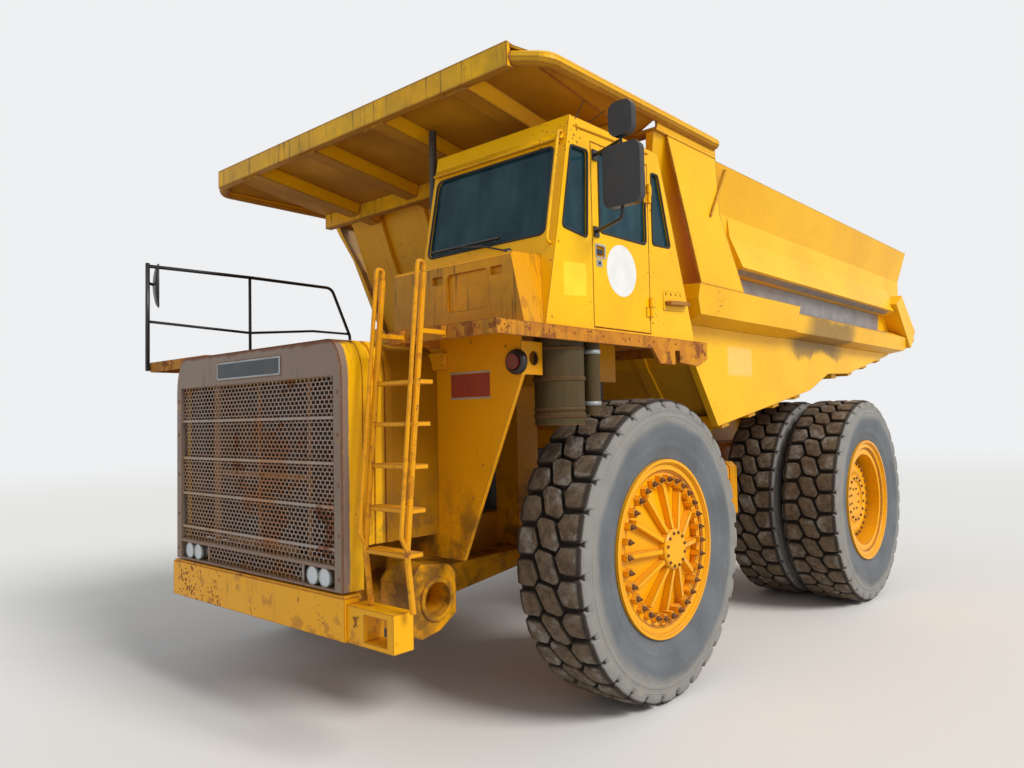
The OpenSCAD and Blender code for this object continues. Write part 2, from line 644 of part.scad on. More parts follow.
module door_panel() color("gold") {
    difference() {
        block([cab_out_x - cab_wall, door_front_y, door_low], [cab_out_x, door_rear_y, door_high]);
        side_plate(cab_out_x - cab_wall - 1, cab_out_x + 1, door_window);
        side_plate(cab_out_x - 20, cab_out_x + 1, rounded([[door_front_y + 40, 3560], [door_front_y + 150, 3560],
            [door_front_y + 150, 3640], [door_front_y + 40, 3640]], 15));
    }
    for (z = hinge_zs) difference() {
        union() {
            block([cab_out_x - 1, hinge_y - 60, z], [cab_out_x + 8, hinge_y, z + hinge_h]);
            translate([hinge_x, hinge_y, z]) cylinder(h = hinge_h, r = 18);
        }
        translate([hinge_x, hinge_y, z - 1]) cylinder(h = hinge_h + 2, r = 9 + run_gap);
    }
}

module door_glass() color("lightblue") {
    side_plate(cab_out_x - glass_in - glass_t, cab_out_x - glass_in, door_window);
}

module mirrors_left() color("black") {
    for (z = [3740, 4330]) block([cab_out_x, -3412, z - 40], [cab_out_x + 14, -3348, z + 40]);
    tube([[cab_out_x + 5, -3380, 3740], [2640, -3520, 3760], [2640, -3520, 4560]], 26, 50);
    bar([cab_out_x + 8, -3380, 4330], [2640, -3520, 4330], 24);
    front_plate(-3560, -3500, rounded(frame_of(2500, 2820, 3840, 4290), 60));
    front_plate(-3560, -3500, rounded(frame_of(2560, 2760, 4350, 4600), 60));
}

// Lamps, tanks, rear axle and its struts

lamp_r = 60;

module head_lamps() color("silver") {
    both_sides() for (x = lamp_xs) translate([x, shell_front_y + 12, lamp_z]) rotate([-90, 0, 0])
        cylinder(h = 60, r = lamp_r);
}

module side_lamps() color("firebrick") {
    both_sides() translate([2065, fender_y, 2740]) rotate([90, 0, 0]) {
        cylinder(h = 34, r = 82);
        cylinder(h = 62, r = 56);
    }
}

module side_tanks() color("goldenrod") {
    both_sides() {
        front_plate(-900, 480, [[rail_in + rail_w, 1120], [1440, 1120], [1500, 1180], [1500, 1720], [1440, 1780],
            [rail_in + rail_w, 1780]]);
        for (y = [-760, 290]) front_plate(y, y + 50, [[rail_in + rail_w, 1108], [1445, 1108], [1512, 1175],
            [1512, 1725], [1445, 1792], [rail_in + rail_w, 1792]]);
        translate([1300, -600, 1700]) cylinder(h = 150, r = 60);
    }
}

rear_spindle_r = 200;

rear_strut_x = 730;
rear_strut_y = rear_axle_y + 330;

module rear_axle() color("darkgoldenrod") {
    translate([0, rear_axle_y, tyre_r]) turned([[0, -2090], [rear_spindle_r, -2090], [rear_spindle_r, -1080],
        [230, -1080], [230, -330], [320, -190], [345, -60], [345, 60], [320, 190], [230, 330], [230, 1080],
        [rear_spindle_r, 1080], [rear_spindle_r, 2090], [0, 2090]]);
    both_sides() block([rear_strut_x - 60, rear_axle_y + 150, tyre_r - 80], [rear_strut_x + 60,
        rear_strut_y + 60, tyre_r + 20]);
}

module rear_struts() color("dimgray") {
    both_sides() translate([rear_strut_x, rear_strut_y, 0]) {
        translate([0, 0, tyre_r + 20]) cylinder(h = 1870 - tyre_r - 20, r = 52);
        translate([0, 0, 1440]) cylinder(h = 1870 - 1440, r = 78);
    }
}

// Wheels

tyre_half = tyre_w / 2;
bead_r = 628;
rim_outline = [[barrel_r, -290], [flange_r, -290], [flange_r, -263], [bead_r, -251], [bead_r - 1, 251],
    [flange_r, 263], [flange_r, 290], [705, 290], [690, 262], [645, 262], [625, 238], [barrel_r, 238]];
clamps = 30;
spokes = 12;

module turned(outline) {
    rotate([0, 90, 0]) rotate_extrude() polygon(outline);
}

module wheel_place(x, y) {
    translate([x, y, tyre_r]) children();
}

module front_rim() {
    turned(rim_outline);
    turned([[spindle_r + run_gap, -200], [260, -200], [300, 60], [barrel_r + 1, 130], [barrel_r + 1, 190],
        [505, 205], [200, 285], [165, 300], [165, 352], [150, 366], [0, 366], [0, 160],
        [spindle_r + run_gap, 160]]);
    for (i = [0:spokes - 1]) rotate([360 * i / spokes, 0, 0]) translate([0, 20, 0]) rotate([90, 0, 0])
        linear_extrude(40) polygon([[150, 160], [345, 160], [270, 505], [195, 505]]);
    for (i = [0:clamps - 1]) rotate([360 * (i + 0.5) / clamps, 0, 0]) block([180, -24, 530], [283, 24, 600]);
}

module rear_rims() {
    for (x = [0, -twin_pitch]) translate([x, 0, 0]) turned(rim_outline);
    turned([[rear_spindle_r + run_gap, -1000], [420, -1000], [450, -twin_pitch - 60],
        [barrel_r + 1, -twin_pitch - 40], [barrel_r + 1, -twin_pitch + 20], [460, -twin_pitch + 20],
        [460, -80], [barrel_r + 1, -60], [barrel_r + 1, -20], [330, -20], [310, 120], [290, 135], [230, 135],
        [220, 120], [0, 120], [0, -100], [rear_spindle_r + run_gap, -100]]);
}

// A tyre is one mesh of facets: rings of corners round the wheel, coarse at the bead and fine at the tread,
// where each pitch has a lug with a groove after it. The far half is turned by half a pitch, so the lugs slant.
pitches = 27;
groove_deep = 48;
lug_share = 0.64;
// Each ring: place across the tyre, radius on a lug, radius in a groove, part of a pitch that it is turned by
bead_corner_r = (bead_r + 0.3) / cos(180 / pitches);
tyre_rings = [[-250, bead_corner_r, 0], [-262, flange_r + 5, 0], [-tyre_half, 985, 0],
    [16 - tyre_half, 1168, 0], [72 - tyre_half, tyre_r, 0], [tyre_half - 72, tyre_r, 0.5],
    [tyre_half - 16, 1168, 0.5], [tyre_half, 985, 0.5], [262, flange_r + 5, 0.5], [250, bead_corner_r, 0.5]];
function at_pitch(x, r, place) = let (a = 360 * place / pitches) [x, r * sin(a), -r * cos(a)];
function coarse_ring(q) = [for (i = [0:pitches - 1]) at_pitch(q[0], q[1], i + q[2])];
function fine_ring(q) = [for (i = [0:pitches - 1]) each [at_pitch(q[0], q[1], i + q[2]),
    at_pitch(q[0], q[1], i + q[2] + lug_share), at_pitch(q[0] * (q[1] < tyre_r ? 0.97 : 0.93),
    q[1] - (q[1] < tyre_r ? 14 : groove_deep), i + q[2] + (1 + lug_share) / 2)]];
function strip(a, b, n) = [for (i = [0:n - 1]) let (k = (i + 1) % n) each [[a + i, b + k, a + k], [a + i, b + i,
    b + k]]];
function widen(c, f, n) = [for (i = [0:n - 1]) let (k = (i + 1) % n, j = 3 * i, m = 3 * k) each
    [[c + i, f + j + 2, c + k], [c + k, f + j + 2, f + m], [c + i, f + j + 1, f + j + 2], [c + i, f + j,
        f + j + 1]]];
function flipped(faces) = [for (q = faces) [q[0], q[2], q[1]]];

module tyre() {
    n = pitches;
    polyhedron(concat(coarse_ring(tyre_rings[0]), coarse_ring(tyre_rings[1]), coarse_ring(tyre_rings[2]),
        fine_ring(tyre_rings[3]), fine_ring(tyre_rings[4]), fine_ring(tyre_rings[5]), fine_ring(tyre_rings[6]),
        coarse_ring(tyre_rings[7]), coarse_ring(tyre_rings[8]), coarse_ring(tyre_rings[9])),
        concat(strip(0, n, n), strip(n, 2 * n, n), widen(2 * n, 3 * n, n), strip(3 * n, 6 * n, 3 * n),
            strip(6 * n, 9 * n, 3 * n), strip(9 * n, 12 * n, 3 * n), flipped(widen(15 * n, 12 * n, n)),
            strip(15 * n, 16 * n, n), strip(16 * n, 17 * n, n), strip(17 * n, 0, n)));
}

module tyre_front_left() color("dimgray") wheel_place(front_tyre_x, front_axle_y) tyre();
module tyre_front_right() color("dimgray") mirror([1, 0, 0]) wheel_place(front_tyre_x, front_axle_y) tyre();
module rim_front_left() color("orange") wheel_place(front_tyre_x, front_axle_y) front_rim();
module rim_front_right() color("orange") mirror([1, 0, 0]) wheel_place(front_tyre_x, front_axle_y) front_rim();
module twin_tyres() for (x = [0, -twin_pitch]) translate([x, 0, 0]) tyre();
module tyres_rear_left() color("dimgray") wheel_place(rear_tyre_x, rear_axle_y) twin_tyres();
module tyres_rear_right() color("dimgray") mirror([1, 0, 0]) wheel_place(rear_tyre_x, rear_axle_y) twin_tyres();
module rims_rear_left() color("orange") wheel_place(rear_tyre_x, rear_axle_y) rear_rims();
module rims_rear_right() color("orange") mirror([1, 0, 0]) wheel_place(rear_tyre_x, rear_axle_y) rear_rims();

// Steering knuckles

module knuckle() translate([kingpin_x, front_axle_y, tyre_r]) {
    translate([0, 0, 10 - fork_half]) cylinder(h = 2 * fork_half, r = 60);
    translate([0, 0, ear_deep + 6 - fork_half]) cylinder(h = 2 * (fork_half - ear_deep - 6), r = 105);
    rotate([0, 90, 0]) cylinder(h = front_tyre_x - kingpin_x + 150, r = spindle_r);
}

module knuckle_left() color("darkgoldenrod") knuckle();
module knuckle_right() color("darkgoldenrod") mirror([1, 0, 0]) knuckle();

// Dump body

floor_line = [[-1115, 2222], [1278, 2609], [1898, 2826], [2628, 2852], [4345, 3171], [tail_y, 3400]];
front_line = [[-2440, 4640], [-2300, 4310], [-1942, 3495], [-1542, 2810]];
side_view = concat(floor_line, [[tail_y, 3500], [tail_y - 147, side_top], [-2480, side_top]], front_line);
skin_section = [[2285, side_top], [2145, 4340], [2100, 3200], [2100, 2000], [2030, 2000], [2030, 3400],
    [2070, 4200], [2210, side_top]];
upper_rail = [[2144, 4340], [2165, 4130], [2300, 3800], [2200, 3750], [2080, 3740], [2100, 4200]];
lower_rail = [[2080, 3190], [2100, 3190], [2313, 3250], [2360, 3520], [2200, 3530], [2080, 3540]];
slim_rail = [[2080, 3200], [2100, 3200], [2280, 3245], [2325, 3440], [2200, 3500], [2080, 3520]];
upper_rail_y = -876;
rail_front_end_y = -1880;
rail_break_y = 408;
tail_post = [[4056, 3902], [4330, 4055], [4960, 3560], [4700, 3270]];

module bed_side() {
    intersection() {
        union() {
            front_plate(-2600, tail_y, skin_section);
            front_plate(upper_rail_y, 4240, upper_rail);
            front_plate(rail_front_end_y, rail_break_y, lower_rail);
            front_plate(rail_break_y - 1, tail_y, slim_rail);
            side_plate(2060, 2345, tail_post);
        }
        side_plate(1900, 2500, side_view);
    }
}

module bed_side_left() color("gold") bed_side();
module bed_side_right() color("gold") mirror([1, 0, 0]) bed_side();

function raised(line, h) = [for (p = line) [p.x, p.y + h]];
function reversed(line) = [for (i = [len(line) - 1:-1:0]) line[i]];

bed_in = 2030;
bolster_in = 400;
bolster_out = 540;
bolster_rest = rail_top + 6;

module bed_floor() color("gold") {
    side_plate(-bed_in, bed_in, concat(raised(floor_line, 60), reversed(raised(floor_line, 60 + body_plate))));
    for (y = [-900:620:4400]) translate([0, y, 0]) intersection() {
        block([-bed_in, 0, 1900], [bed_in, 160, 3600]);
        translate([0, -y, 0]) side_plate(-bed_in, bed_in, concat(raised(floor_line, -60),
            reversed(raised(floor_line, 60))));
    }
    both_sides() {
        side_plate(bolster_in, bolster_out, [[-1080, bolster_rest + 120], [-900, bolster_rest],
            [pivot_y, bolster_rest], [pivot_y + 300, 2600], [pivot_y + 300, 3010], [2628, 2912],
            [1898, 2886], [1278, 2669], [-1080, 2288]]);
        difference() {
            side_plate(rail_in + rail_w + 6, rail_in + rail_w + 96, [[pivot_y - 700, 2400],
                [pivot_y - 150, pivot_z], [pivot_y - 130, pivot_z - 130], [pivot_y + 130, pivot_z - 130],
                [pivot_y + 150, pivot_z], [pivot_y + 300, 3010], [pivot_y - 700, 2885]]);
            axle_pin(500, 800, pivot_r + run_gap, pivot_y, pivot_z);
        }
        for (x = [hoist_x - 130, hoist_x + 90]) difference() {
            side_plate(x, x + 40, [[hoist_top_y - 140, 2590], [hoist_top_y - 110, hoist_top_z],
                [hoist_top_y - 60, hoist_top_z - 100], [hoist_top_y + 60, hoist_top_z - 100],
                [hoist_top_y + 110, hoist_top_z], [hoist_top_y + 140, 2590]]);
            axle_pin(x - 1, x + 41, hoist_pin_r, hoist_top_y, hoist_top_z);
        }
    }
}

front_wall_line = [[-1115, 2322], [-1542, 2810], [-1942, 3495], [-2300, 4310], [-2480, side_top]];
wall_rib = 60;
function floor_top(y) = 2322.05 + (y + 1115) * 387 / 2393;

module bed_front_wall() color("gold") {
    side_plate(-bed_in, bed_in, concat([[wall_rib - 1115, floor_top(wall_rib - 1115)]],
        [for (i = [1:4]) front_wall_line[i] + [wall_rib, 0]], [for (i = [4:-1:1]) front_wall_line[i] + [wall_rib + body_plate, 0]],
        [[wall_rib + body_plate - 1115, floor_top(wall_rib + body_plate - 1115)]]));
    for (x = [-1500, -750, 0, 750, 1500]) side_plate(x - 60, x + 60, concat([for (i = [1:4]) front_wall_line[i]
        + [10, 0]], [[-2410, side_top]], [for (i = [3:-1:1]) front_wall_line[i] + [wall_rib + 5, 0]],
        [[-1050, floor_top(-1050)], [-1105, floor_top(-1105)]]));
}

canopy_rear_y = -1422;
canopy_joint_y = -2480;

// Rib under the canopy, wide at its top, as a mesh of facets
module hat_rib(x) {
    y0 = canopy_y + 40;
    y1 = -2474;
    low0 = canopy_top - fascia_deep + 16;
    high0 = canopy_top - 33;
    polyhedron([[x - 125, y0, high0], [x + 125, y0, high0], [x + 85, y0, low0], [x - 85, y0, low0],
        [x - 125, y1, side_top + 2], [x + 125, y1, side_top + 2], [x + 85, y1, 4650], [x - 85, y1, 4650]],
        [[0, 1, 2, 3], [7, 6, 5, 4], [0, 4, 5, 1], [3, 2, 6, 7], [1, 5, 6, 2], [0, 3, 7, 4]]);
}

// Side of the canopy: a strip from its flat sheet out to the level edge tube, twisted along its length,
// and a three-cornered piece that closes it to the front edge. Both are meshes of facets.
edge_x = canopy_half - 55;
edge_z = side_top + 132;
edge_y = canopy_y + 190;
strip_x = fascia_half - 15;
function sheet_z(y) = canopy_top - 4 + (y - canopy_y) * (side_top + 30 - canopy_top) / (canopy_joint_y - canopy_y);

module canopy_strip() {
    y1 = canopy_joint_y + 30;
    z1 = side_top + 26;
    polyhedron([[strip_x, edge_y, sheet_z(edge_y)], [edge_x, edge_y, edge_z + 11], [edge_x, edge_y, edge_z - 11],
        [strip_x, edge_y, sheet_z(edge_y) - 22], [strip_x, y1, z1], [edge_x, y1, edge_z + 11],
        [edge_x, y1, edge_z - 11], [strip_x, y1, z1 - 22]],
        [[0, 1, 2, 3], [7, 6, 5, 4], [0, 4, 5], [0, 5, 1], [3, 2, 6], [3, 6, 7], [1, 5, 6, 2], [0, 3, 7, 4]]);
    polyhedron([for (drop = [0, 22]) each [[strip_x, canopy_y + 20, sheet_z(canopy_y + 20) - drop],
        [edge_x, edge_y + 1, edge_z + 11 - drop], [strip_x, edge_y + 1, sheet_z(edge_y) - drop]]],
        [[0, 2, 1], [3, 4, 5], [0, 1, 4, 3], [1, 2, 5, 4], [2, 0, 3, 5]]);
}

module bed_canopy() color("goldenrod") {
    intersection() {
        side_plate(-2500, 2500, [[canopy_y, canopy_top], [canopy_joint_y, side_top + 30],
            [canopy_rear_y, side_top + 30], [canopy_rear_y, side_top], [canopy_joint_y, side_top],
            [canopy_y, canopy_top - 30]]);
        translate([0, 0, 4000]) linear_extrude(2000) polygon([[-fascia_half, canopy_y], [fascia_half, canopy_y],
            [fascia_half, canopy_joint_y], [edge_x, canopy_joint_y], [edge_x, canopy_rear_y], [2150, canopy_rear_y],
            [2150, canopy_joint_y + 140], [-2150, canopy_joint_y + 140], [-2150, canopy_rear_y],
            [-edge_x, canopy_rear_y], [-edge_x, canopy_joint_y], [-fascia_half, canopy_joint_y]]);
    }
    block([-fascia_half, canopy_y, canopy_top - fascia_deep], [fascia_half, canopy_y + 40, canopy_top - 10]);
    block([-fascia_half, canopy_y, canopy_top - fascia_deep], [fascia_half, canopy_y + 75,
        canopy_top - fascia_deep + 15]);
    for (x = [-1500, -500, 500, 1500]) {
        hat_rib(x);
        block([x - 140, canopy_y + 39, 4836], [x + 140, canopy_y + 52, canopy_top - 35]);
    }
    block([30 - fascia_half, -2780, 4640], [fascia_half - 30, -2700, 4810]);
    both_sides() {
        tube([[fascia_half - 20, canopy_y + 62, canopy_top - 108], [edge_x, edge_y, edge_z],
            [edge_x, canopy_rear_y - 18, edge_z]], 110, 120);
        canopy_strip();
        side_plate(2290, 2310, [[canopy_joint_y + 20, side_top + 1], [canopy_joint_y + 20, edge_z - 20],
            [canopy_rear_y, edge_z - 20], [-1362, 4250], [upper_rail_y - 4, 3536], [-1760, 3536],
            [-2300, side_top + 1]]);
        side_plate(2296, 2330, [[-1575, 4190], [-1545, 4190], [-1215, 4700], [-1245, 4700]]);
    }
}

// Body hoists: barrel on the frame, sleeve and rod running up to the body

hoist_x = 760;
hoist_low_y = 1100;
hoist_low_z = 1000;
hoist_top_y = 1000;
hoist_top_z = 2200;
hoist_pin_r = 50;
hoist_run = [0, hoist_top_y - hoist_low_y, hoist_top_z - hoist_low_z];
hoist_tilt = atan2(-hoist_run.y, hoist_run.z);
hoist_len = norm(hoist_run);

module hoist_frame() translate([0, hoist_low_y, hoist_low_z]) rotate([hoist_tilt, 0, 0]) children();

module hoist_barrel() translate([hoist_x, 0, 0]) hoist_frame() difference() {
    union() {
        rotate([0, 90, 0]) cylinder(h = 140, r = 110, center = true);
        translate([0, 0, 60]) cylinder(h = hoist_len - 260, r = 150);
    }
    rotate([0, 90, 0]) cylinder(h = 200, r = hoist_pin_r + run_gap, center = true);
    translate([0, 0, 160]) cylinder(h = hoist_len, r = 120);
}

module hoist_sleeve() translate([hoist_x, 0, 0]) hoist_frame() difference() {
    translate([0, 0, 165]) cylinder(h = hoist_len - 325, r = 120 - run_gap);
    translate([0, 0, 200]) cylinder(h = hoist_len, r = 85);
}

module hoist_rod() translate([hoist_x, 0, 0]) hoist_frame() difference() {
    union() {
        translate([0, 0, 205]) cylinder(h = hoist_len - 290, r = 85 - run_gap);
        translate([0, 0, hoist_len]) rotate([0, 90, 0]) cylinder(h = 160, r = 95, center = true);
    }
    translate([0, 0, hoist_len]) rotate([0, 90, 0]) cylinder(h = 200, r = hoist_pin_r, center = true);
}

module hoist_barrel_left() color("gray") hoist_barrel();
module hoist_barrel_right() color("gray") mirror([1, 0, 0]) hoist_barrel();
module hoist_sleeve_left() color("silver") hoist_sleeve();
module hoist_sleeve_right() color("silver") mirror([1, 0, 0]) hoist_sleeve();
module hoist_rod_left() color("silver") hoist_rod();
module hoist_rod_right() color("silver") mirror([1, 0, 0]) hoist_rod();

frame_rails();
bumper();
front_crossmember();
front_arms();
front_struts();
front_fenders();
radiator_shell();
grille_mesh();
radiator();
hood();
engine_block();
air_cleaner();
vent_pipe();
deck_left();
deck_right();
ladder();
guard_rail();
cab_shell();
cab_glass();
cab_seat();
cab_controls();
cab_locker();
head_lamps();
side_lamps();
side_tanks();
rear_axle();
rear_struts();
knuckle_left();
knuckle_right();
tyre_front_left();
rim_front_left();
tyre_front_right();
rim_front_right();
tyres_rear_left();
rims_rear_left();
tyres_rear_right();
rims_rear_right();
door_panel();
door_glass();
mirrors_left();
bed_floor();
bed_side_left();
bed_side_right();
bed_front_wall();
bed_canopy();
hoist_barrel_left();
hoist_barrel_right();
hoist_sleeve_left();
hoist_sleeve_right();
hoist_rod_left();
hoist_rod_right();
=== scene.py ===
from math import cos, pi, radians, sin
from random import Random

import bmesh
import bpy
from bpy.props import FloatProperty, FloatVectorProperty, IntProperty, PointerProperty
from mathutils import Matrix, Vector


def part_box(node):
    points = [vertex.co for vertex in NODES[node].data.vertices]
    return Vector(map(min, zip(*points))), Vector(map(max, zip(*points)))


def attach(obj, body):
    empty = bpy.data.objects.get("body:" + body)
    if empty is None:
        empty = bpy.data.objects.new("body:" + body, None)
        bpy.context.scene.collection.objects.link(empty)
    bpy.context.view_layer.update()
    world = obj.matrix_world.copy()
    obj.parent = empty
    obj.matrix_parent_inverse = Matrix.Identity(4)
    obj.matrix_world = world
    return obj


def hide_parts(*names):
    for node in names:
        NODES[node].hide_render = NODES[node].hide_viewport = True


bl_info = {
    "name": "Haul truck looks",
    "version": (1, 0, 0),
    "blender": (4, 5, 0),
    "location": "View3D > Sidebar > Haul truck",
    "description": "Dresses the packed frame of a rigid haul truck with worn paint, tyres and small fittings",
    "category": "Object",
}

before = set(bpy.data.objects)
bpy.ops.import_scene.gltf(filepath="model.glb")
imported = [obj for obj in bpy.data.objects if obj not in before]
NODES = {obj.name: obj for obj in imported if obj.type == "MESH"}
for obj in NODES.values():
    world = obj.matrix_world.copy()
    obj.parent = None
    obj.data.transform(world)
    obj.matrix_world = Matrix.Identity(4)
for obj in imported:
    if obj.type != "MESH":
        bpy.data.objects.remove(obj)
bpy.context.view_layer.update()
TYRE_LOW, TYRE_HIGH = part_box("tyre_front_left")
TYRE_RADIUS = (TYRE_HIGH.z - TYRE_LOW.z) / 2
TYRE_WIDTH = TYRE_HIGH.x - TYRE_LOW.x

# Directions of the part frame
AHEAD, UP, LEFT = (0, -1, 0), (0, 0, 1), (1, 0, 0)
# Radiator shell, the mesh in it with the heights of its rails, what is behind the mesh, and the head lamps
SHELL_FRONT_Y, SHELL_REAR_Y = -4.962, -4.780
MESH_Y, MESH_HALF, MESH_LOW, MESH_HIGH = -4.937, 1.146, 1.337, 2.662
RAIL_Y, RAILS = -4.941, (1.447, 1.740, 2.047, 2.370)
UPRIGHTS_Y, CROSSBARS_Y, SURROUND_Y = -4.905, -4.893, -4.868
LAMP_XS, LAMP_Z = (-1.01, -0.86, 0.86, 1.01), 1.243
# Front panel of the fenders, top of the decks and the two sides of the cab
FENDER_Y, DECK_TOP = -4.040, 2.905
CAB_OUT, CAB_IN = 2.300, 0.885
# Axles: height, and distance along the truck and out to the middle of each rim
AXLE_Z = 1.245
FRONT_AXLE_Y, FRONT_RIM_X = -2.520, 2.047
REAR_AXLE_Y, REAR_RIM_X = 2.040, 2.199
# Grey band of the body side: where it starts and ends, its edges there and its rise to the rear
STRIPE_FROM, STRIPE_TO, STRIPE_LOW, STRIPE_HIGH, STRIPE_SLOPE = -1.14, 3.92, 3.36, 3.78, 0.010


def colour(name, description, default):
    return FloatVectorProperty(name=name, description=description, subtype="COLOR", size=3, min=0, max=1,
                               default=default)


def metres(name, description, default):
    return FloatProperty(name=name, description=description, unit="LENGTH", subtype="DISTANCE", default=default)


class TruckPaint(bpy.types.PropertyGroup):
    """Colours of the truck's finishes"""

    body: colour("Body", "Yellow of the body, cab and hood", (0.96, 0.515, 0.001))
    shade: colour("Faded", "Duller yellow where the paint has weathered", (0.78, 0.35, 0.002))
    fender: colour("Fender", "Deeper yellow of the fenders, bumper and frame", (0.78, 0.325, 0.002))
    oily: colour("Oily", "Yellow under oil and dust on the axle and knuckles", (0.30, 0.145, 0.018))
    rim: colour("Rim", "Orange yellow of the rims", (0.93, 0.41, 0.001))
    rust: colour("Rust", "Rust on bare steel", (0.150, 0.047, 0.015))
    steel: colour("Steel", "Bare scoured steel inside the body", (0.170, 0.120, 0.085))
    wash: colour("Rust wash", "Orange stain that rust leaves on the paint round it", (0.42, 0.135, 0.012))
    # The Underside colour is painted shade with some brown dirt, laid on what faces down
    shade_and_soot: colour("Underside", "Brown dirt under what hangs over", (0.200, 0.066, 0.008))
    grime: colour("Grime", "Dark run-down dirt", (0.050, 0.031, 0.018))
    dust: colour("Dust", "Pale dust from the yard", (0.40, 0.30, 0.19))
    shell: colour("Shell", "Grey brown of the radiator shell", (0.26, 0.185, 0.140))
    rubber: colour("Rubber", "Sun-bleached rubber of the sidewalls", (0.100, 0.108, 0.118))
    scuff: colour("Scuffed rubber", "Pale worn rubber under the lugs", (0.285, 0.270, 0.240))
    mud: colour("Mud", "Dried mud on the tread", (0.165, 0.112, 0.068))
    black: colour("Black", "Black paint of tubes and mirrors", (0.010, 0.010, 0.012))
    stripe: colour("Stripe", "Grey band along the body side", (0.30, 0.27, 0.26))


class TruckTyres(bpy.types.PropertyGroup):
    """Sizes of the tread"""

    pitches: IntProperty(name="Lugs", description="Shoulder lugs round each edge", default=32, min=12)
    depth: metres("Tread depth", "From the lugs' tops to the bottom of the grooves", 0.062)
    chamfer: metres("Chamfer", "Worn edge of each lug", 0.019)
    around: IntProperty(name="Segments", description="Segments round the carcass", default=144, min=48)


class TruckFittings(bpy.types.PropertyGroup):
    """Sizes of bolts, gaskets and small fittings"""

    bolt_radius: metres("Bolt radius", "Half the width of a bolt head", 0.014)
    bolt_height: metres("Bolt height", "Height of a bolt head", 0.010)
    nut_radius: metres("Nut radius", "Half the width of a rim nut", 0.021)
    nut_height: metres("Nut height", "Height of a rim nut", 0.024)
    nuts: IntProperty(name="Nuts", description="Nuts round each rim", default=30, min=8)
    gasket: metres("Gasket", "Width of the rubber round a window", 0.020)
    gasket_height: metres("Gasket height", "How far the rubber stands proud of the panel", 0.006)


class TruckGrille(bpy.types.PropertyGroup):
    """Sizes of the mesh before the radiator"""

    pitch: metres("Opening width", "Distance between two openings of a row", 0.055)
    row: metres("Row height", "Distance between two rows of openings", 0.0316)
    strand: metres("Strand", "Width of the level strands of the mesh", 0.0080)
    web: metres("Web", "Width of the webs between two openings of a row", 0.0130)
    thick: metres("Thickness", "Thickness of the mesh", 0.004)


class TruckView(bpy.types.PropertyGroup):
    """Camera and light of the stage"""

    place: FloatVectorProperty(name="Camera place", description="Where the camera stands", unit="LENGTH",
                               subtype="TRANSLATION", default=(5.731, -8.199, 2.337))
    yaw: FloatProperty(name="Yaw", description="Turn to the left from looking along +Y", subtype="ANGLE",
                       default=radians(41.842))
    pitch: FloatProperty(name="Pitch", description="Tilt above the horizon", subtype="ANGLE",
                         default=radians(2.539))
    roll: FloatProperty(name="Roll", description="Turn about the view direction", subtype="ANGLE",
                        default=radians(-1.1505))
    lens: FloatProperty(name="Lens", description="Focal length on a 36 mm sensor", unit="CAMERA", default=27.476)
    sun: FloatProperty(name="Key light", description="Strength of the soft key light", default=2.55)
    sky: FloatProperty(name="Fill light", description="Strength of the even fill", default=0.50)


SETTINGS = (("truck_paint", TruckPaint), ("truck_tyres", TruckTyres), ("truck_fittings", TruckFittings),
            ("truck_grille", TruckGrille), ("truck_view", TruckView))


# Mesh tools


class Shape:
    """Points and faces gathered for one mesh, with a finish number for each face."""

    def __init__(self):
        self.points = []
        self.faces = []
        self.finishes = []
        self.smooth = []

    def add(self, points, faces, finish=0, smooth=False):
        start = len(self.points)
        self.points.extend(Vector(p) for p in points)
        self.faces.extend([start + i for i in face] for face in faces)
        self.finishes.extend([finish] * len(faces))
        self.smooth.extend([smooth] * len(faces))


def make_piece(name, shape, body, finishes, replaces=()):
    """Turns a shape into an object that rides on a body."""
    mesh = bpy.data.meshes.new(name)
    mesh.from_pydata([tuple(p) for p in shape.points], [], shape.faces)
    mesh.polygons.foreach_set("material_index", shape.finishes)
    mesh.polygons.foreach_set("use_smooth", shape.smooth)
    outward = bmesh.new()
    outward.from_mesh(mesh)
    bmesh.ops.recalc_face_normals(outward, faces=outward.faces)
    outward.to_mesh(mesh)
    outward.free()
    for finish in finishes:
        mesh.materials.append(FINISHES[finish])
    piece = bpy.data.objects.new(name, mesh)
    bpy.context.scene.collection.objects.link(piece)
    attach(piece, body)
    if replaces:
        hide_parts(*replaces)
    return piece


def add_rings(shape, rings, finish=0, smooth=False, closed=False):
    """Skin over a row of rings that have as many points each, with flat ends unless it is closed."""
    sides, rows = len(rings[0]), len(rings)
    faces = []
    for i in range(rows if closed else rows - 1):
        j = (i + 1) % rows
        for k in range(sides):
            n = (k + 1) % sides
            faces.append((i * sides + k, i * sides + n, j * sides + n, j * sides + k))
    if not closed:
        faces.append(tuple(range(sides))[::-1])
        faces.append(tuple((rows - 1) * sides + k for k in range(sides)))
    shape.add([p for ring in rings for p in ring], faces, finish, smooth)


def add_box(shape, low, high, finish=0):
    xs, ys, zs = zip(low, high)
    points = [(x, y, z) for x in xs for y in ys for z in zs]
    faces = [(0, 1, 3, 2), (4, 6, 7, 5), (0, 4, 5, 1), (2, 3, 7, 6), (0, 2, 6, 4), (1, 5, 7, 3)]
    shape.add(points, faces, finish)


def cross_axes(along):
    """Two directions square to a direction and to each other."""
    along = Vector(along).normalized()
    side = along.cross(Vector(UP if abs(along.z) < 0.9 else LEFT)).normalized()
    return side, along.cross(side)


def circle(side, rise, sides):
    """Directions evenly round a circle that two axes span."""
    return [side * cos(2 * pi * k / sides) + rise * sin(2 * pi * k / sides) for k in range(sides)]


def add_turned(shape, centre, along, profile, sides, finish=0, smooth=True, closed=False):
    """Turns a profile of (distance along, radius) pairs round an axis through centre."""
    along = Vector(along).normalized()
    turns = circle(*cross_axes(along), sides)
    rings = [[Vector(centre) + along * place + turn * radius for turn in turns] for place, radius in profile]
    add_rings(shape, rings, finish, smooth, closed)


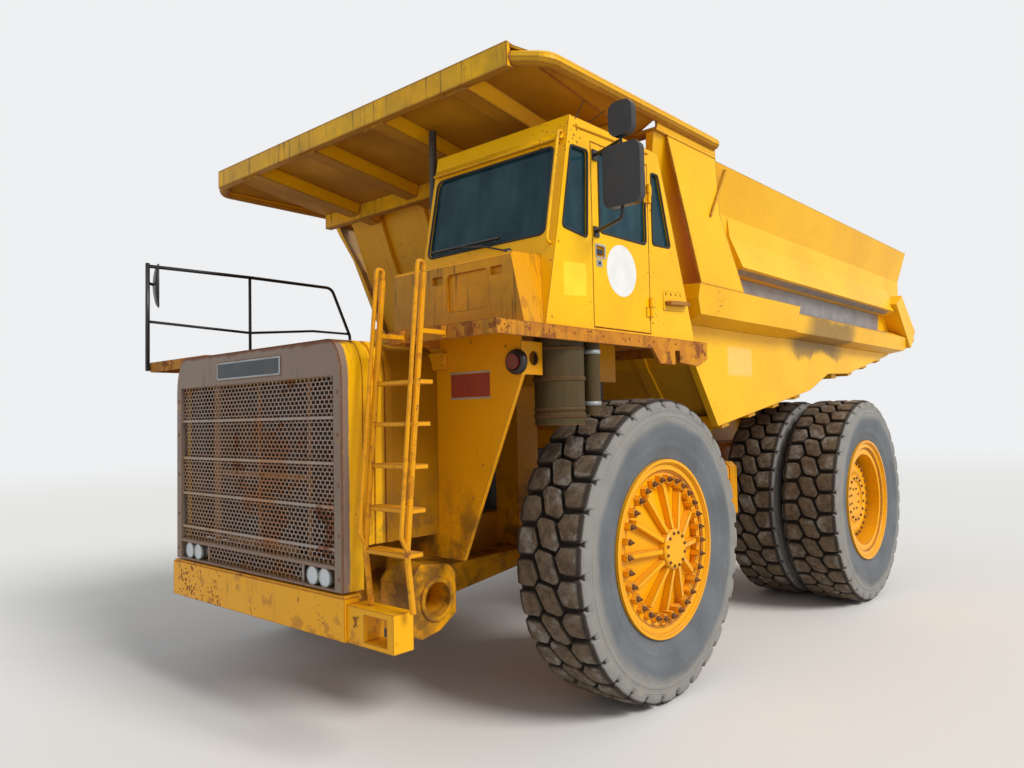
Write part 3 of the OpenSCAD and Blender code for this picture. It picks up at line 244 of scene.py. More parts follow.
def add_bolt(shape, centre, along, radius, height, finish=0):
    """Bolt head with a chamfered top on a thin washer."""
    profile = [(-0.003, radius * 1.35), (0.002, radius * 1.35), (0.002, radius), (height * 0.75, radius),
               (height, radius * 0.8)]
    add_turned(shape, centre, along, profile, 6, finish, smooth=False)


def path_steps(path, closed):
    """Each point of a path with the direction of the path there."""
    count = len(path)
    for i, p in enumerate(path):
        before = path[i - 1] if i > 0 or closed else p
        after = path[(i + 1) % count] if i < count - 1 or closed else p
        yield p, (after - before).normalized()


def add_tube(shape, points, radius, sides=10, finish=0, closed=False):
    """Round tube swept along a list of points."""
    rings = []
    side = None
    for p, along in path_steps([Vector(p) for p in points], closed):
        if side is None:
            side, _ = cross_axes(along)
        side = (side - along * side.dot(along)).normalized()
        rings.append([p + turn * radius for turn in circle(side, along.cross(side), sides)])
    add_rings(shape, rings, finish, True, closed)


def add_strip(shape, points, normal, width, height, finish=0, closed=True, sunk=0.002):
    """Strip with sloping sides laid along a path on a surface."""
    normal = Vector(normal).normalized()
    rings = []
    for p, along in path_steps([Vector(p) for p in points], closed):
        side = normal.cross(along).normalized()
        rings.append([p + side * across + normal * rise for across, rise in
                      ((-width / 2, -sunk), (-width * 0.4, height), (width * 0.4, height), (width / 2, -sunk))])
    add_rings(shape, rings, finish, False, closed)


def add_plate(shape, outline, normal, thick, finish=0, bevel=0.002, sunk=0.001):
    """Flat plate on a surface, with its front edge bevelled."""
    normal = Vector(normal).normalized()
    outline = [Vector(p) for p in outline]
    centre = sum(outline, Vector()) / len(outline)
    rings = [[p + (centre - p).normalized() * shrink + normal * rise for p in outline]
             for shrink, rise in ((0, -sunk), (0, thick - bevel), (bevel, thick))]
    add_rings(shape, rings, finish)


def bent(points, bend, steps=5):
    """Path through points with its corners rounded to a bend radius."""
    path = [Vector(points[0])]
    for before, corner, after in zip(points, points[1:], points[2:]):
        before, corner, after = Vector(before), Vector(corner), Vector(after)
        u, v = (corner - before).normalized(), (after - corner).normalized()
        turn = u.angle(v)
        if turn < 0.02:
            path.append(corner)
            continue
        reach = bend * sin(turn / 2) / cos(turn / 2)
        start, end = corner - u * reach, corner + v * reach
        for k in range(steps + 1):
            t = k / steps
            path.append(start * (1 - t) ** 2 + corner * 2 * t * (1 - t) + end * t ** 2)
    path.append(Vector(points[-1]))
    return path


def rounded_loop(corners, bend, steps=4):
    """Closed path through corners that are rounded to a bend radius."""
    start = (Vector(corners[-1]) + Vector(corners[0])) / 2
    return bent([start, *corners, start], bend, steps)[:-1]


def add_band(shape, centre, along, half, inner, outer, sides, finish=0):
    """Flat ring round an axis, half its width on each side of centre."""
    profile = [(-half, inner), (-half, outer), (half, outer), (half, inner)]
    add_turned(shape, centre, along, profile, sides, finish, closed=True)


def front_rectangle(y, x_low, x_high, z_low, z_high):
    """Corners of a rectangle that faces forward."""
    return [(x_low, y, z_low), (x_high, y, z_low), (x_high, y, z_high), (x_low, y, z_high)]


def side_outline(x, *corners):
    """Points on a plane that faces sideways, from their y and z."""
    return [(x, y, z) for y, z in corners]


def side_rectangle(x, y_low, y_high, z_low, z_high):
    """Corners of a rectangle that faces sideways."""
    return side_outline(x, (y_low, z_low), (y_high, z_low), (y_high, z_high), (y_low, z_high))


# Node tools


def feed(tree, socket, value):
    """Links an output to a socket, or sets the socket's own value."""
    if hasattr(value, "is_output"):
        tree.links.new(value, socket)
    else:
        socket.default_value = value


def add_node(tree, kind, settings=None, **inputs):
    """New node with its settings and with its inputs fed by name."""
    node = tree.nodes.new(kind)
    for key, value in (settings or {}).items():
        setattr(node, key, value)
    for key, value in inputs.items():
        feed(tree, node.inputs[key.replace("_", " ")], value)
    return node


def maths(tree, operation, a, b=0.0, clamp=False):
    node = add_node(tree, "ShaderNodeMath", {"operation": operation, "use_clamp": clamp})
    for socket, value in zip(node.inputs, (a, b)):
        feed(tree, socket, value)
    return node.outputs[0]


def plus(tree, a, b, clamp=False):
    return maths(tree, "ADD", a, b, clamp)


def minus(tree, a, b):
    return maths(tree, "SUBTRACT", a, b)


def times(tree, a, b, clamp=False):
    return maths(tree, "MULTIPLY", a, b, clamp)


def ramped(tree, value, low, high):
    """0 at low and 1 at high, smooth between."""
    return add_node(tree, "ShaderNodeMapRange", {"interpolation_type": "SMOOTHSTEP"}, Value=value, From_Min=low,
                    From_Max=high).outputs["Result"]


def within(tree, value, low, high, soft):
    """1 between two values of a coordinate and 0 outside them."""
    return times(tree, ramped(tree, value, low - soft, low), ramped(tree, value, high + soft, high))


# Numbers of the Mix node's sockets for colours
MIX_FACTOR, MIX_FIRST, MIX_SECOND, MIX_RESULT = 0, 6, 7, 2


def mixed(tree, factor, first, second):
    """Mix of two colours, each given as a socket or as a plain colour."""
    node = add_node(tree, "ShaderNodeMix", {"data_type": "RGBA"})
    feed(tree, node.inputs[MIX_FACTOR], factor)
    for index, tone in ((MIX_FIRST, first), (MIX_SECOND, second)):
        feed(tree, node.inputs[index], tone if hasattr(tone, "is_output") else (*tone, 1))
    return node.outputs[MIX_RESULT]


def times_colour(tone, factor):
    """Plain colour made darker or lighter."""
    return tuple(c * factor for c in tone)


def noise(tree, place, scale, detail=4.0, rough=0.55):
    return add_node(tree, "ShaderNodeTexNoise", Vector=place, Scale=scale, Detail=detail,
                    Roughness=rough).outputs["Fac"]


def clouds(tree, place, scale, detail, rough, low, high):
    """Noise pulled apart into patches of 0 and 1."""
    return ramped(tree, noise(tree, place, scale, detail, rough), low, high)


def stretched(tree, place, x, y, z):
    """Coordinates scaled by one factor for each axis."""
    return add_node(tree, "ShaderNodeMapping", Vector=place, Scale=(x, y, z)).outputs["Vector"]


def axes_of(tree, vector):
    """X, Y and Z of a vector as sockets."""
    return add_node(tree, "ShaderNodeSeparateXYZ", Vector=vector).outputs


def facing_axes(tree):
    """X, Y and Z of the direction that the surface faces."""
    return axes_of(tree, tree.nodes.new("ShaderNodeTexCoord").outputs["Normal"])


# Effects that the finishes share, each built once as a node group


def edge_wear(tree, given, place):
    """Mask along the outer edges of a form, broken up by noise."""
    rounded = add_node(tree, "ShaderNodeBevel", {"samples": 4}, Radius=given["Width"])
    plain = tree.nodes.new("ShaderNodeNewGeometry")
    dot = add_node(tree, "ShaderNodeVectorMath", {"operation": "DOT_PRODUCT"})
    tree.links.new(rounded.outputs["Normal"], dot.inputs[0])
    tree.links.new(plain.outputs["Normal"], dot.inputs[1])
    away = minus(tree, 1.0, dot.outputs["Value"])
    broken = noise(tree, place, given["Scale"], 6.0, 0.65)
    level = plus(tree, times(tree, away, 2.5), minus(tree, broken, 0.62))
    level = plus(tree, level, times(tree, given["Amount"], 0.3))
    return times(tree, ramped(tree, level, 0.08, 0.22), ramped(tree, away, 0.01, 0.06))


def run_down_stains(tree, given, place):
    """Mask of stains that run down the surface."""
    thin = noise(tree, stretched(tree, place, 5.0, 5.0, 0.35), given["Scale"], 5.0, 0.6)
    wide = noise(tree, place, 1.3, 2.0, 0.5)
    level = plus(tree, times(tree, thin, 0.7), times(tree, wide, 0.5))
    start = minus(tree, 0.86, times(tree, given["Amount"], 0.36))
    return ramped(tree, level, start, plus(tree, start, 0.14))


def flaked_patches(tree, given, place):
    """Mask of ragged patches where the paint has flaked away."""
    broad = noise(tree, place, given["Scale"], 8.0, 0.68)
    start = minus(tree, 0.78, times(tree, given["Amount"], 0.4))
    return ramped(tree, broad, start, plus(tree, start, 0.03))


def rust_freckles(tree, given, place):
    """Mask of small round spots of rust that break through the paint in swarms."""
    spots = add_node(tree, "ShaderNodeTexVoronoi", Vector=place, Scale=given["Scale"])
    size = times(tree, clouds(tree, place, 1.7, 4.0, 0.6, 0.45, 0.75), given["Amount"])
    inside = minus(tree, size, spots.outputs["Distance"])
    return times(tree, ramped(tree, inside, 0.0, 0.06), ramped(tree, size, 0.0, 0.05))


def underside_shade_and_dirt(tree, given, place):
    """Mask of painted shade, with some dirt, on what faces down, darkening the undersides of what hangs over."""
    down = ramped(tree, times(tree, facing_axes(tree)["Z"], -1.0), 0.15, 0.75)
    cloud = clouds(tree, place, 1.1, 5.0, 0.6, 0.15, 0.75)
    level = times(tree, down, plus(tree, times(tree, cloud, 0.4), 0.6))
    return times(tree, level, given["Amount"], clamp=True)


def settled_dust(tree, given, place):
    """Mask of dust that lies on what faces up and thickens towards the ground."""
    up = ramped(tree, facing_axes(tree)["Z"], 0.2, 1.0)
    low = times(tree, ramped(tree, axes_of(tree, place)["Z"], 2.2, 0.2), given["Low"])
    level = times(tree, plus(tree, up, low), clouds(tree, place, 3.5, 6.0, 0.6, 0.3, 0.68))
    return times(tree, level, given["Amount"], clamp=True)


def faded_paint(tree, given, place):
    """Two colours mixed in soft clouds, as sun-faded paint shows."""
    broad = times(tree, clouds(tree, place, 0.9, 5.0, 0.6, 0.35, 0.72), given["Amount"])
    fine = times(tree, clouds(tree, place, 14.0, 3.0, 0.6, 0.4, 0.7), 0.12)
    return mixed(tree, plus(tree, broad, fine, clamp=True), given["Fresh"], given["Faded"])


NUMBER, COLOUR, WHITE = "NodeSocketFloat", "NodeSocketColor", (1, 1, 1, 1)
# Name of each effect, what builds it, its inputs with their defaults, and its output
EFFECTS = {
    "Edge wear": (edge_wear, (("Width", NUMBER, 0.02), ("Amount", NUMBER, 0.5), ("Scale", NUMBER, 6.0)),
                  ("Mask", NUMBER)),
    "Run-down stains": (run_down_stains, (("Scale", NUMBER, 5.0), ("Amount", NUMBER, 0.4)), ("Mask", NUMBER)),
    "Flaked patches": (flaked_patches, (("Scale", NUMBER, 3.0), ("Amount", NUMBER, 0.2)), ("Mask", NUMBER)),
    "Rust freckles": (rust_freckles, (("Scale", NUMBER, 30.0), ("Amount", NUMBER, 0.3)), ("Mask", NUMBER)),
    "Underside shade and dirt": (underside_shade_and_dirt, (("Amount", NUMBER, 0.5),), ("Mask", NUMBER)),
    "Dust": (settled_dust, (("Amount", NUMBER, 0.4), ("Low", NUMBER, 0.4)), ("Mask", NUMBER)),
    "Faded paint": (faded_paint, (("Fresh", COLOUR, WHITE), ("Faded", COLOUR, WHITE), ("Amount", NUMBER, 0.4)),
                    ("Color", COLOUR)),
}


def make_group(name):
    """Builds one of the shared effects as a node group."""
    build, inputs, (result, kind) = EFFECTS[name]
    group = bpy.data.node_groups.new(name, "ShaderNodeTree")
    for label, sort, default in inputs:
        group.interface.new_socket(name=label, in_out="INPUT", socket_type=sort).default_value = default
    group.interface.new_socket(name=result, in_out="OUTPUT", socket_type=kind)
    given = group.nodes.new("NodeGroupInput").outputs
    place = group.nodes.new("ShaderNodeTexCoord").outputs["Object"]
    made = group.nodes.new("NodeGroupOutput").inputs
    group.links.new(build(group, given, place), made[result])
    return group


def effect(tree, name, **inputs):
    """Places one of the shared effects in a material and gives its output."""
    node = tree.nodes.new("ShaderNodeGroup")
    node.node_tree = bpy.data.node_groups.get(name) or make_group(name)
    for key, value in inputs.items():
        node.inputs[key].default_value = (*value, 1) if key in ("Fresh", "Faded") else value
    return node.outputs[0]


# Finishes


def new_material(name):
    """Material with a Principled shader, its tree and its coordinates."""
    material = bpy.data.materials.new(name)
    material.use_nodes = True
    tree = material.node_tree
    tree.nodes.clear()
    shader = tree.nodes.new("ShaderNodeBsdfPrincipled")
    output = tree.nodes.new("ShaderNodeOutputMaterial")
    tree.links.new(shader.outputs[0], output.inputs[0])
    place = tree.nodes.new("ShaderNodeTexCoord").outputs["Object"]
    return material, tree, shader, place


def set_bump(tree, shader, height, strength, distance):
    bump = add_node(tree, "ShaderNodeBump", Height=height, Strength=strength, Distance=distance)
    tree.links.new(bump.outputs["Normal"], shader.inputs["Normal"])


# How much of the colour under them rust wash, stains, the painted shade and dirt on what faces down, and bare rust
# hide
WASH_HIDES, STAINS_HIDE, SHADE_AND_DIRT_HIDE, RUST_HIDES = 0.55, 0.40, 0.85, 0.90


# under sets how strongly painted shade and dirt darken what faces down
def painted(name, fresh, faded, edge=0.4, streaks=0.3, patches=0.1, freckles=0.25, under=0.5, dust=0.1,
            low=0.2, gloss=0.38, patch_scale=3.0, edge_width=0.012, extra=None):
    """Worn machine paint: faded clouds, rust on edges, in patches and freckles, stains, painted shade with dirt on
    what faces down, and dust.
    """
    paint = bpy.context.scene.truck_paint
    material, tree, shader, place = new_material(name)
    shader.inputs["Specular IOR Level"].default_value = 0.22
    tone = effect(tree, "Faded paint", Fresh=fresh, Faded=faded, Amount=0.5)
    if extra:
        tone = extra(tree, place, tone)
    stains = effect(tree, "Run-down stains", Amount=streaks)
    worn = effect(tree, "Edge wear", Width=edge_width, Amount=edge)
    flaked = effect(tree, "Flaked patches", Scale=patch_scale, Amount=patches)
    washed = effect(tree, "Flaked patches", Scale=patch_scale * 0.6, Amount=patches + 0.14)
    spots = effect(tree, "Rust freckles", Scale=26.0, Amount=freckles)
    # Painted shade, with some dirt, on what faces down
    shade_and_dirt_below = effect(tree, "Underside shade and dirt", Amount=under)
    bare = maths(tree, "MAXIMUM", maths(tree, "MAXIMUM", worn, flaked), spots)
    rust = mixed(tree, clouds(tree, place, 22.0, 5.0, 0.55, 0.35, 0.65), paint.rust, times_colour(paint.rust, 1.9))
    for mask, hides, layer in ((washed, WASH_HIDES, paint.wash), (stains, STAINS_HIDE, paint.grime),
                               (shade_and_dirt_below, SHADE_AND_DIRT_HIDE, paint.shade_and_soot), (bare, RUST_HIDES, rust)):
        tone = mixed(tree, times(tree, mask, hides), tone, layer)
    dusty = effect(tree, "Dust", Amount=dust, Low=low)
    tree.links.new(mixed(tree, dusty, tone, paint.dust), shader.inputs["Base Color"])
    dull = plus(tree, maths(tree, "MAXIMUM", bare, shade_and_dirt_below), dusty)
    tree.links.new(plus(tree, gloss, times(tree, dull, 0.4), clamp=True), shader.inputs["Roughness"])
    height = minus(tree, times(tree, noise(tree, place, 60.0, 3.0), 0.10), bare)
    set_bump(tree, shader, height, 0.35, 0.002)
    return material


def plain_finish(name, tone, dark, rough, metallic=0.0, dust=0.15):
    """Finish of one colour with a grain and a little dust, for rubber, plastic and cast parts."""
    material, tree, shader, place = new_material(name)
    base = mixed(tree, clouds(tree, place, 5.0, 5.0, 0.55, 0.3, 0.7), tone, dark)
    dusty = effect(tree, "Dust", Amount=dust, Low=0.3)
    tree.links.new(mixed(tree, dusty, base, bpy.context.scene.truck_paint.dust), shader.inputs["Base Color"])
    grain = noise(tree, place, 40.0, 4.0)
    tree.links.new(plus(tree, rough, times(tree, grain, 0.15)), shader.inputs["Roughness"])
    shader.inputs["Metallic"].default_value = metallic
    set_bump(tree, shader, grain, 0.2, 0.002)
    return material


# Marks that only some painted pieces have


def grey_band(tree, place, axes, outside):
    """Mask of the grey band in the hollow of the body side."""
    level = minus(tree, axes["Z"], times(tree, minus(tree, axes["Y"], STRIPE_FROM), STRIPE_SLOPE))
    band = times(tree, within(tree, level, STRIPE_LOW, STRIPE_HIGH, 0.004),
                 within(tree, axes["Y"], STRIPE_FROM, STRIPE_TO, 0.004))
    hollow = times(tree, within(tree, maths(tree, "ABSOLUTE", axes["X"]), 2.05, 2.27, 0.01), outside)
    return times(tree, times(tree, band, hollow), clouds(tree, place, 4.0, 8.0, 0.7, 0.78, 0.70))


def dark_patch_under_beam(tree, place, axes, left):
    """Mask of a dark ragged patch with drips under the beam of the body's left side."""
    ragged = times(tree, minus(tree, noise(tree, place, 1.6, 6.0, 0.6), 0.5), 0.6)
    patch = times(tree, within(tree, plus(tree, axes["Z"], ragged), 3.06, 3.40, 0.10),
                  within(tree, plus(tree, axes["Y"], ragged), 1.00, 2.10, 0.45))
    drips = times(tree, noise(tree, stretched(tree, place, 1.0, 9.0, 0.6), 4.0), 0.5)
    return times(tree, times(tree, patch, plus(tree, drips, 0.45)), left)


def pale_mark(tree, place, axes, left):
    """Mask of the square pale mark low on the body's left side."""
    mark = times(tree, within(tree, axes["Z"], 2.76, 3.00, 0.05), within(tree, axes["Y"], -0.84, -0.34, 0.05))
    torn = plus(tree, times(tree, noise(tree, place, 22.0, 5.0, 0.7), 0.5), 0.05)
    return times(tree, times(tree, mark, torn), left)


def body_side(tree, place, tone):
    """Grey band, dark patch under the beam and pale mark on the body's outer face, and scoured steel on its inner
    face.
    """
    paint = bpy.context.scene.truck_paint
    axes = axes_of(tree, place)
    outward = times(tree, axes["X"], facing_axes(tree)["X"])
    outside = ramped(tree, outward, 0.1, 0.4)
    left = times(tree, ramped(tree, axes["X"], 1.0, 1.2), outside)
    uneven = clouds(tree, place, 5.0, 6.0, 0.55, 0.3, 0.7)
    grey = mixed(tree, uneven, paint.stripe, times_colour(paint.stripe, 0.7))
    tone = mixed(tree, grey_band(tree, place, axes, outside), tone, grey)
    tone = mixed(tree, dark_patch_under_beam(tree, place, axes, left), tone, times_colour(paint.grime, 1.6))
    tone = mixed(tree, pale_mark(tree, place, axes, left), tone, (0.80, 0.66, 0.36))
    scoured = clouds(tree, stretched(tree, place, 1.0, 0.35, 1.2), 2.4, 8.0, 0.68, 0.22, 0.58)
    inside = times(tree, ramped(tree, outward, -0.1, -0.4), scoured)
    return mixed(tree, times(tree, inside, 0.85), tone, paint.steel)


def worn_floor(tree, place, tone):
    """Bare brown steel where the load slides, on what faces up or to the rear inside the body."""
    paint = bpy.context.scene.truck_paint
    facing = facing_axes(tree)
    slid = maths(tree, "MAXIMUM", ramped(tree, facing["Z"], 0.4, 0.7), ramped(tree, facing["Y"], 0.4, 0.7))
    scored = clouds(tree, stretched(tree, place, 6.0, 0.5, 1.0), 2.0, 8.0, 0.7, 0.30, 0.50)
    steel = mixed(tree, clouds(tree, place, 6.0, 6.0, 0.55, 0.35, 0.65), paint.steel, paint.rust)
    return mixed(tree, times(tree, slid, plus(tree, times(tree, scored, 0.4), 0.55)), tone, steel)


def hood_shadow(tree, place, tone):
    """Painted shadow on the hood behind its first bands: a darker, duller yellow, with dark splashes low down."""
    behind = ramped(tree, axes_of(tree, place)["Y"], SHELL_REAR_Y + 0.16, SHELL_REAR_Y + 0.22)
    tone = mixed(tree, behind, tone, times_colour(bpy.context.scene.truck_paint.fender, 0.42))
    return low_grime(tree, place, tone)


def shell_marks(tree, place, tone):
    """Yellow sides of the radiator shell, rust along its top, and old yellow showing in places."""
    paint = bpy.context.scene.truck_paint
    axes = axes_of(tree, place)
    edge = plus(tree, axes["Y"], times(tree, noise(tree, place, 6.0, 6.0, 0.7), 0.03))
    tone = mixed(tree, ramped(tree, edge, SHELL_FRONT_Y + 0.070, SHELL_FRONT_Y + 0.085), tone, paint.body)
    high = plus(tree, axes["Z"], times(tree, noise(tree, place, 7.0, 6.0, 0.7), 0.10))
    tone = mixed(tree, ramped(tree, high, 2.935, 2.965), tone, paint.rust)
    old = times(tree, clouds(tree, stretched(tree, place, 1.0, 1.0, 0.6), 2.6, 4.0, 0.55, 0.60, 0.64),
                ramped(tree, maths(tree, "ABSOLUTE", axes["X"]), 1.02, 1.14))
    return mixed(tree, times(tree, old, 0.9), tone, times_colour(paint.body, 0.8))


def front_shade_and_grime(tree, place, tone):
    """Painted shade on what faces forward, as olive clouds that darken it, with dark drips of grime."""
    ahead = ramped(tree, times(tree, facing_axes(tree)["Y"], -1.0), 0.6, 0.95)
    cloud = times(tree, ahead, clouds(tree, place, 2.2, 6.0, 0.6, 0.25, 0.70))
    # Painted shade: olive clouds darken what faces forward
    tone = mixed(tree, times(tree, cloud, 0.60), tone, (0.24, 0.145, 0.022))
    drips = times(tree, ahead, clouds(tree, stretched(tree, place, 12.0, 1.0, 0.7), 2.0, 5.0, 0.6, 0.55, 0.66))
    return mixed(tree, times(tree, drips, 0.65), tone, bpy.context.scene.truck_paint.grime)


def low_grime(tree, place, tone):
    """Dark splashes on the lower part of the fenders and the hood."""
    low = ramped(tree, axes_of(tree, place)["Z"], 2.1, 1.35)
    splashes = times(tree, low, clouds(tree, place, 3.0, 7.0, 0.65, 0.42, 0.62))
    return mixed(tree, times(tree, splashes, 0.75), tone, bpy.context.scene.truck_paint.grime)


def sidewall_rubber():
    """Bleached sidewalls with fine rings, painted shade in the rings' grooves and down in the tread's grooves, and
    muddy, worn lug tops.
    """
    paint = bpy.context.scene.truck_paint
    material, tree, shader, place = new_material("sun_bleached_rubber")
    tread = add_node(tree, "ShaderNodeAttribute", {"attribute_name": "tread"}).outputs["Fac"]
    ring = add_node(tree, "ShaderNodeAttribute", {"attribute_name": "ring"}).outputs["Fac"]
    bleached = clouds(tree, place, 3.0, 6.0, 0.6, 0.3, 0.7)
    rubber = mixed(tree, bleached, paint.rubber, times_colour(paint.rubber, 1.5))
    uneven = times(tree, minus(tree, noise(tree, place, 2.2, 5.0), 0.5), 0.12)
    shoulder = within(tree, plus(tree, ring, uneven), 0.865, 0.97, 0.07)
    rubber = mixed(tree, times(tree, shoulder, 0.80), rubber, paint.scuff)
    lines = ramped(tree, maths(tree, "SINE", times(tree, ring, 420.0)), 0.3, 1.0)
    drawn = times(tree, lines, clouds(tree, place, 6.0, 4.0, 0.55, 0.35, 0.7))
    # Painted shade in the fine rings' grooves, which the bump also sinks
    rubber = mixed(tree, times(tree, drawn, 0.5), rubber, times_colour(paint.rubber, 0.5))
    scuffed = clouds(tree, stretched(tree, place, 8.0, 1.0, 1.0), 9.0, 7.0, 0.7, 0.60, 0.72)
    rubber = mixed(tree, times(tree, scuffed, 0.45), rubber, paint.dust)
    top = mixed(tree, clouds(tree, place, 18.0, 6.0, 0.65, 0.35, 0.66), paint.mud, times_colour(paint.mud, 0.5))
    worn = clouds(tree, place, 5.0, 7.0, 0.65, 0.50, 0.66)
    top = mixed(tree, times(tree, worn, 0.8), top, paint.scuff)
    # Painted shade: groove bottoms, lug flanks and the carcass between the lugs darken to a sixth of the mud's
    # tone
    tone = mixed(tree, ramped(tree, tread, 0.12, 0.40), rubber, times_colour(paint.mud, 0.16))
    tone = mixed(tree, ramped(tree, tread, 0.62, 0.92), tone, top)
    tree.links.new(tone, shader.inputs["Base Color"])
    shader.inputs["Roughness"].default_value = 0.88
    grit = times(tree, noise(tree, place, 45.0, 8.0, 0.7), plus(tree, times(tree, tread, 0.9), 0.12))
    set_bump(tree, shader, minus(tree, grit, times(tree, drawn, 0.10)), 0.9, 0.014)
    return material


def tinted_glass():
    """Blue-green glass with faint smears."""
    material, tree, shader, place = new_material("tinted_glass")
    smear = clouds(tree, stretched(tree, place, 2.0, 2.0, 0.6), 3.0, 5.0, 0.55, 0.35, 0.8)
    tree.links.new(mixed(tree, smear, (0.035, 0.135, 0.185), (0.10, 0.26, 0.32)), shader.inputs["Base Color"])
    tree.links.new(times(tree, smear, 0.16), shader.inputs["Roughness"])
    shader.inputs["Transmission Weight"].default_value = 0.75
    shader.inputs["IOR"].default_value = 1.2
    return material


def waves(tree, place, direction, scale, distortion=0.0):
    """Parallel ribs in one direction."""
    return add_node(tree, "ShaderNodeTexWave", {"wave_type": "BANDS", "bands_direction": direction}, Vector=place,
                    Scale=scale, Distortion=distortion).outputs["Fac"]


def lamp_glass():
    """Clear ribbed lens of a head lamp."""
    material, tree, shader, place = new_material("lamp_lens")
    ribs = waves(tree, place, "X", 22.0)
    tree.links.new(mixed(tree, ribs, (0.70, 0.73, 0.76), (0.42, 0.45, 0.48)), shader.inputs["Base Color"])
    shader.inputs["Roughness"].default_value = 0.12
    shader.inputs["Coat Weight"].default_value = 0.8
    set_bump(tree, shader, ribs, 0.4, 0.003)
    return material


def woven_seat():
    """Dark woven cloth of the seat."""
    material, tree, shader, place = new_material("seat_cloth")
    weave = waves(tree, place, "DIAGONAL", 60.0, 0.6)
    tree.links.new(mixed(tree, weave, (0.028, 0.030, 0.034), (0.07, 0.072, 0.078)), shader.inputs["Base Color"])
    shader.inputs["Roughness"].default_value = 0.92
    set_bump(tree, shader, weave, 0.4, 0.003)
    return material


FINISHES = {}
# Tone, darker tone, roughness and what else each plain finish has
PLAIN_FINISHES = {
    "core_black": ((0.010, 0.009, 0.008), (0.028, 0.020, 0.014), 0.8, {"dust": 0.1}),
    "engine_grey": ((0.055, 0.050, 0.045), (0.025, 0.020, 0.017), 0.55, {"dust": 0.3}),
    "strut_black": ((0.03, 0.03, 0.032), (0.06, 0.045, 0.03), 0.4, {"dust": 0.4}),
    "bright_rod": ((0.62, 0.62, 0.62), (0.50, 0.48, 0.45), 0.12, {"dust": 0.1, "metallic": 1.0}),
    "stud_brown": ((0.23, 0.088, 0.016), (0.10, 0.036, 0.010), 0.6, {}),
    "gasket": ((0.014, 0.014, 0.014), (0.030, 0.027, 0.024), 0.6, {"dust": 0.03}),
    "blank_white": ((0.80, 0.80, 0.78), (0.72, 0.71, 0.68), 0.4, {"dust": 0.03}),
    "blank_yellow": ((0.98, 0.66, 0.006), (0.90, 0.58, 0.006), 0.35, {"dust": 0.03}),
    "blank_red": ((0.34, 0.045, 0.014), (0.24, 0.03, 0.012), 0.5, {"dust": 0.10}),
    "blank_dark": ((0.020, 0.030, 0.040), (0.040, 0.045, 0.050), 0.35, {"dust": 0.1}),
    "plate_pale": ((0.40, 0.42, 0.42), (0.28, 0.29, 0.28), 0.45, {"metallic": 0.3}),
    "red_lens": ((0.24, 0.020, 0.005), (0.12, 0.014, 0.006), 0.2, {"dust": 0.12}),
}


def make_finishes():
    """Every finish of the truck by name."""
    p = bpy.context.scene.truck_paint
    worn_finishes = {
        "side_yellow": (p.body, p.shade, dict(edge=0.40, streaks=0.12, patches=0.05, under=0.40, extra=body_side)),
        "hood_yellow": (p.body, p.shade, dict(edge=0.35, streaks=0.20, patches=0.04, under=0.35,
                                              extra=hood_shadow)),
        "floor_steel": (p.body, p.shade, dict(edge=0.40, streaks=0.3, patches=0.05, under=0.8, dust=0.3,
                                              extra=worn_floor)),
        "canopy_yellow": (p.body, p.shade, dict(edge=0.90, streaks=0.30, patches=0.10, under=1.0, dust=0.10,
                                                edge_width=0.03, extra=front_shade_and_grime)),
        "cab_yellow": (p.body, p.shade, dict(edge=0.30, streaks=0.10, patches=0.02, freckles=0.34)),
        "locker_yellow": (p.fender, times_colour(p.shade, 0.7), dict(edge=0.45, streaks=0.75, patches=0.16,
                                                                     extra=front_shade_and_grime)),
        "fender_yellow": (p.fender, times_colour(p.shade, 0.8), dict(edge=0.30, streaks=0.15, patches=0.03,
                                                                     extra=low_grime)),
        "ladder_yellow": (p.fender, p.shade, dict(edge=0.35, streaks=0.3, patches=0.38, dust=0.2,
                                                  patch_scale=7.0, freckles=0.4)),
        "frame_yellow": (p.fender, p.oily, dict(edge=0.3, streaks=0.6, patches=0.12, dust=0.35, low=0.6)),
        "bumper_yellow": ((0.90, 0.42, 0.002), p.fender, dict(edge=0.8, streaks=0.45, patches=0.40, dust=0.05,
                                                              patch_scale=6.5, freckles=0.45)),
        "oily_yellow": (p.oily, p.grime, dict(edge=0.2, streaks=0.6, patches=0.1, dust=0.4, low=0.6, gloss=0.5)),
        "olive_drum": ((0.075, 0.052, 0.012), p.grime, dict(edge=0.3, streaks=0.8, patches=0.15, dust=0.12,
                                                            gloss=0.55)),
        "shell_grey": (p.shell, times_colour(p.shell, 0.7), dict(edge=0.45, streaks=0.45, patches=0.06, dust=0.2,
                                                                 extra=shell_marks)),
        "mesh_grey": ((0.35, 0.315, 0.285), (0.42, 0.21, 0.035), dict(edge=0.1, streaks=0.5, patches=0.46,
                                                                      dust=0.05, patch_scale=1.6)),
        "bar_rust": ((0.42, 0.18, 0.020), p.rust, dict(edge=0.5, streaks=0.6, patches=0.4)),
        "deck_rust": ((0.62, 0.25, 0.010), p.wash, dict(edge=0.95, streaks=0.7, patches=0.60, dust=0.15,
                                                        patch_scale=6.0, gloss=0.6, freckles=0.5,
                                                        extra=front_shade_and_grime)),
        "rim_yellow": (p.rim, times_colour(p.rim, 0.75), dict(edge=0.15, streaks=0.15, patches=0.03, under=0.2,
                                                              dust=0.15, gloss=0.30)),
    }
    for name, (fresh, faded, wear) in worn_finishes.items():
        FINISHES[name] = painted(name, fresh, faded, **wear)
    for name, (tone, dark, rough, more) in PLAIN_FINISHES.items():
        FINISHES[name] = plain_finish(name, tone, dark, rough, **more)
    FINISHES["tube_black"] = plain_finish("tube_black", p.black, (0.020, 0.018, 0.017), 0.28, dust=0.02)
    FINISHES.update(glass=tinted_glass(), lamp=lamp_glass(), seat=woven_seat(), tyre=sidewall_rubber())


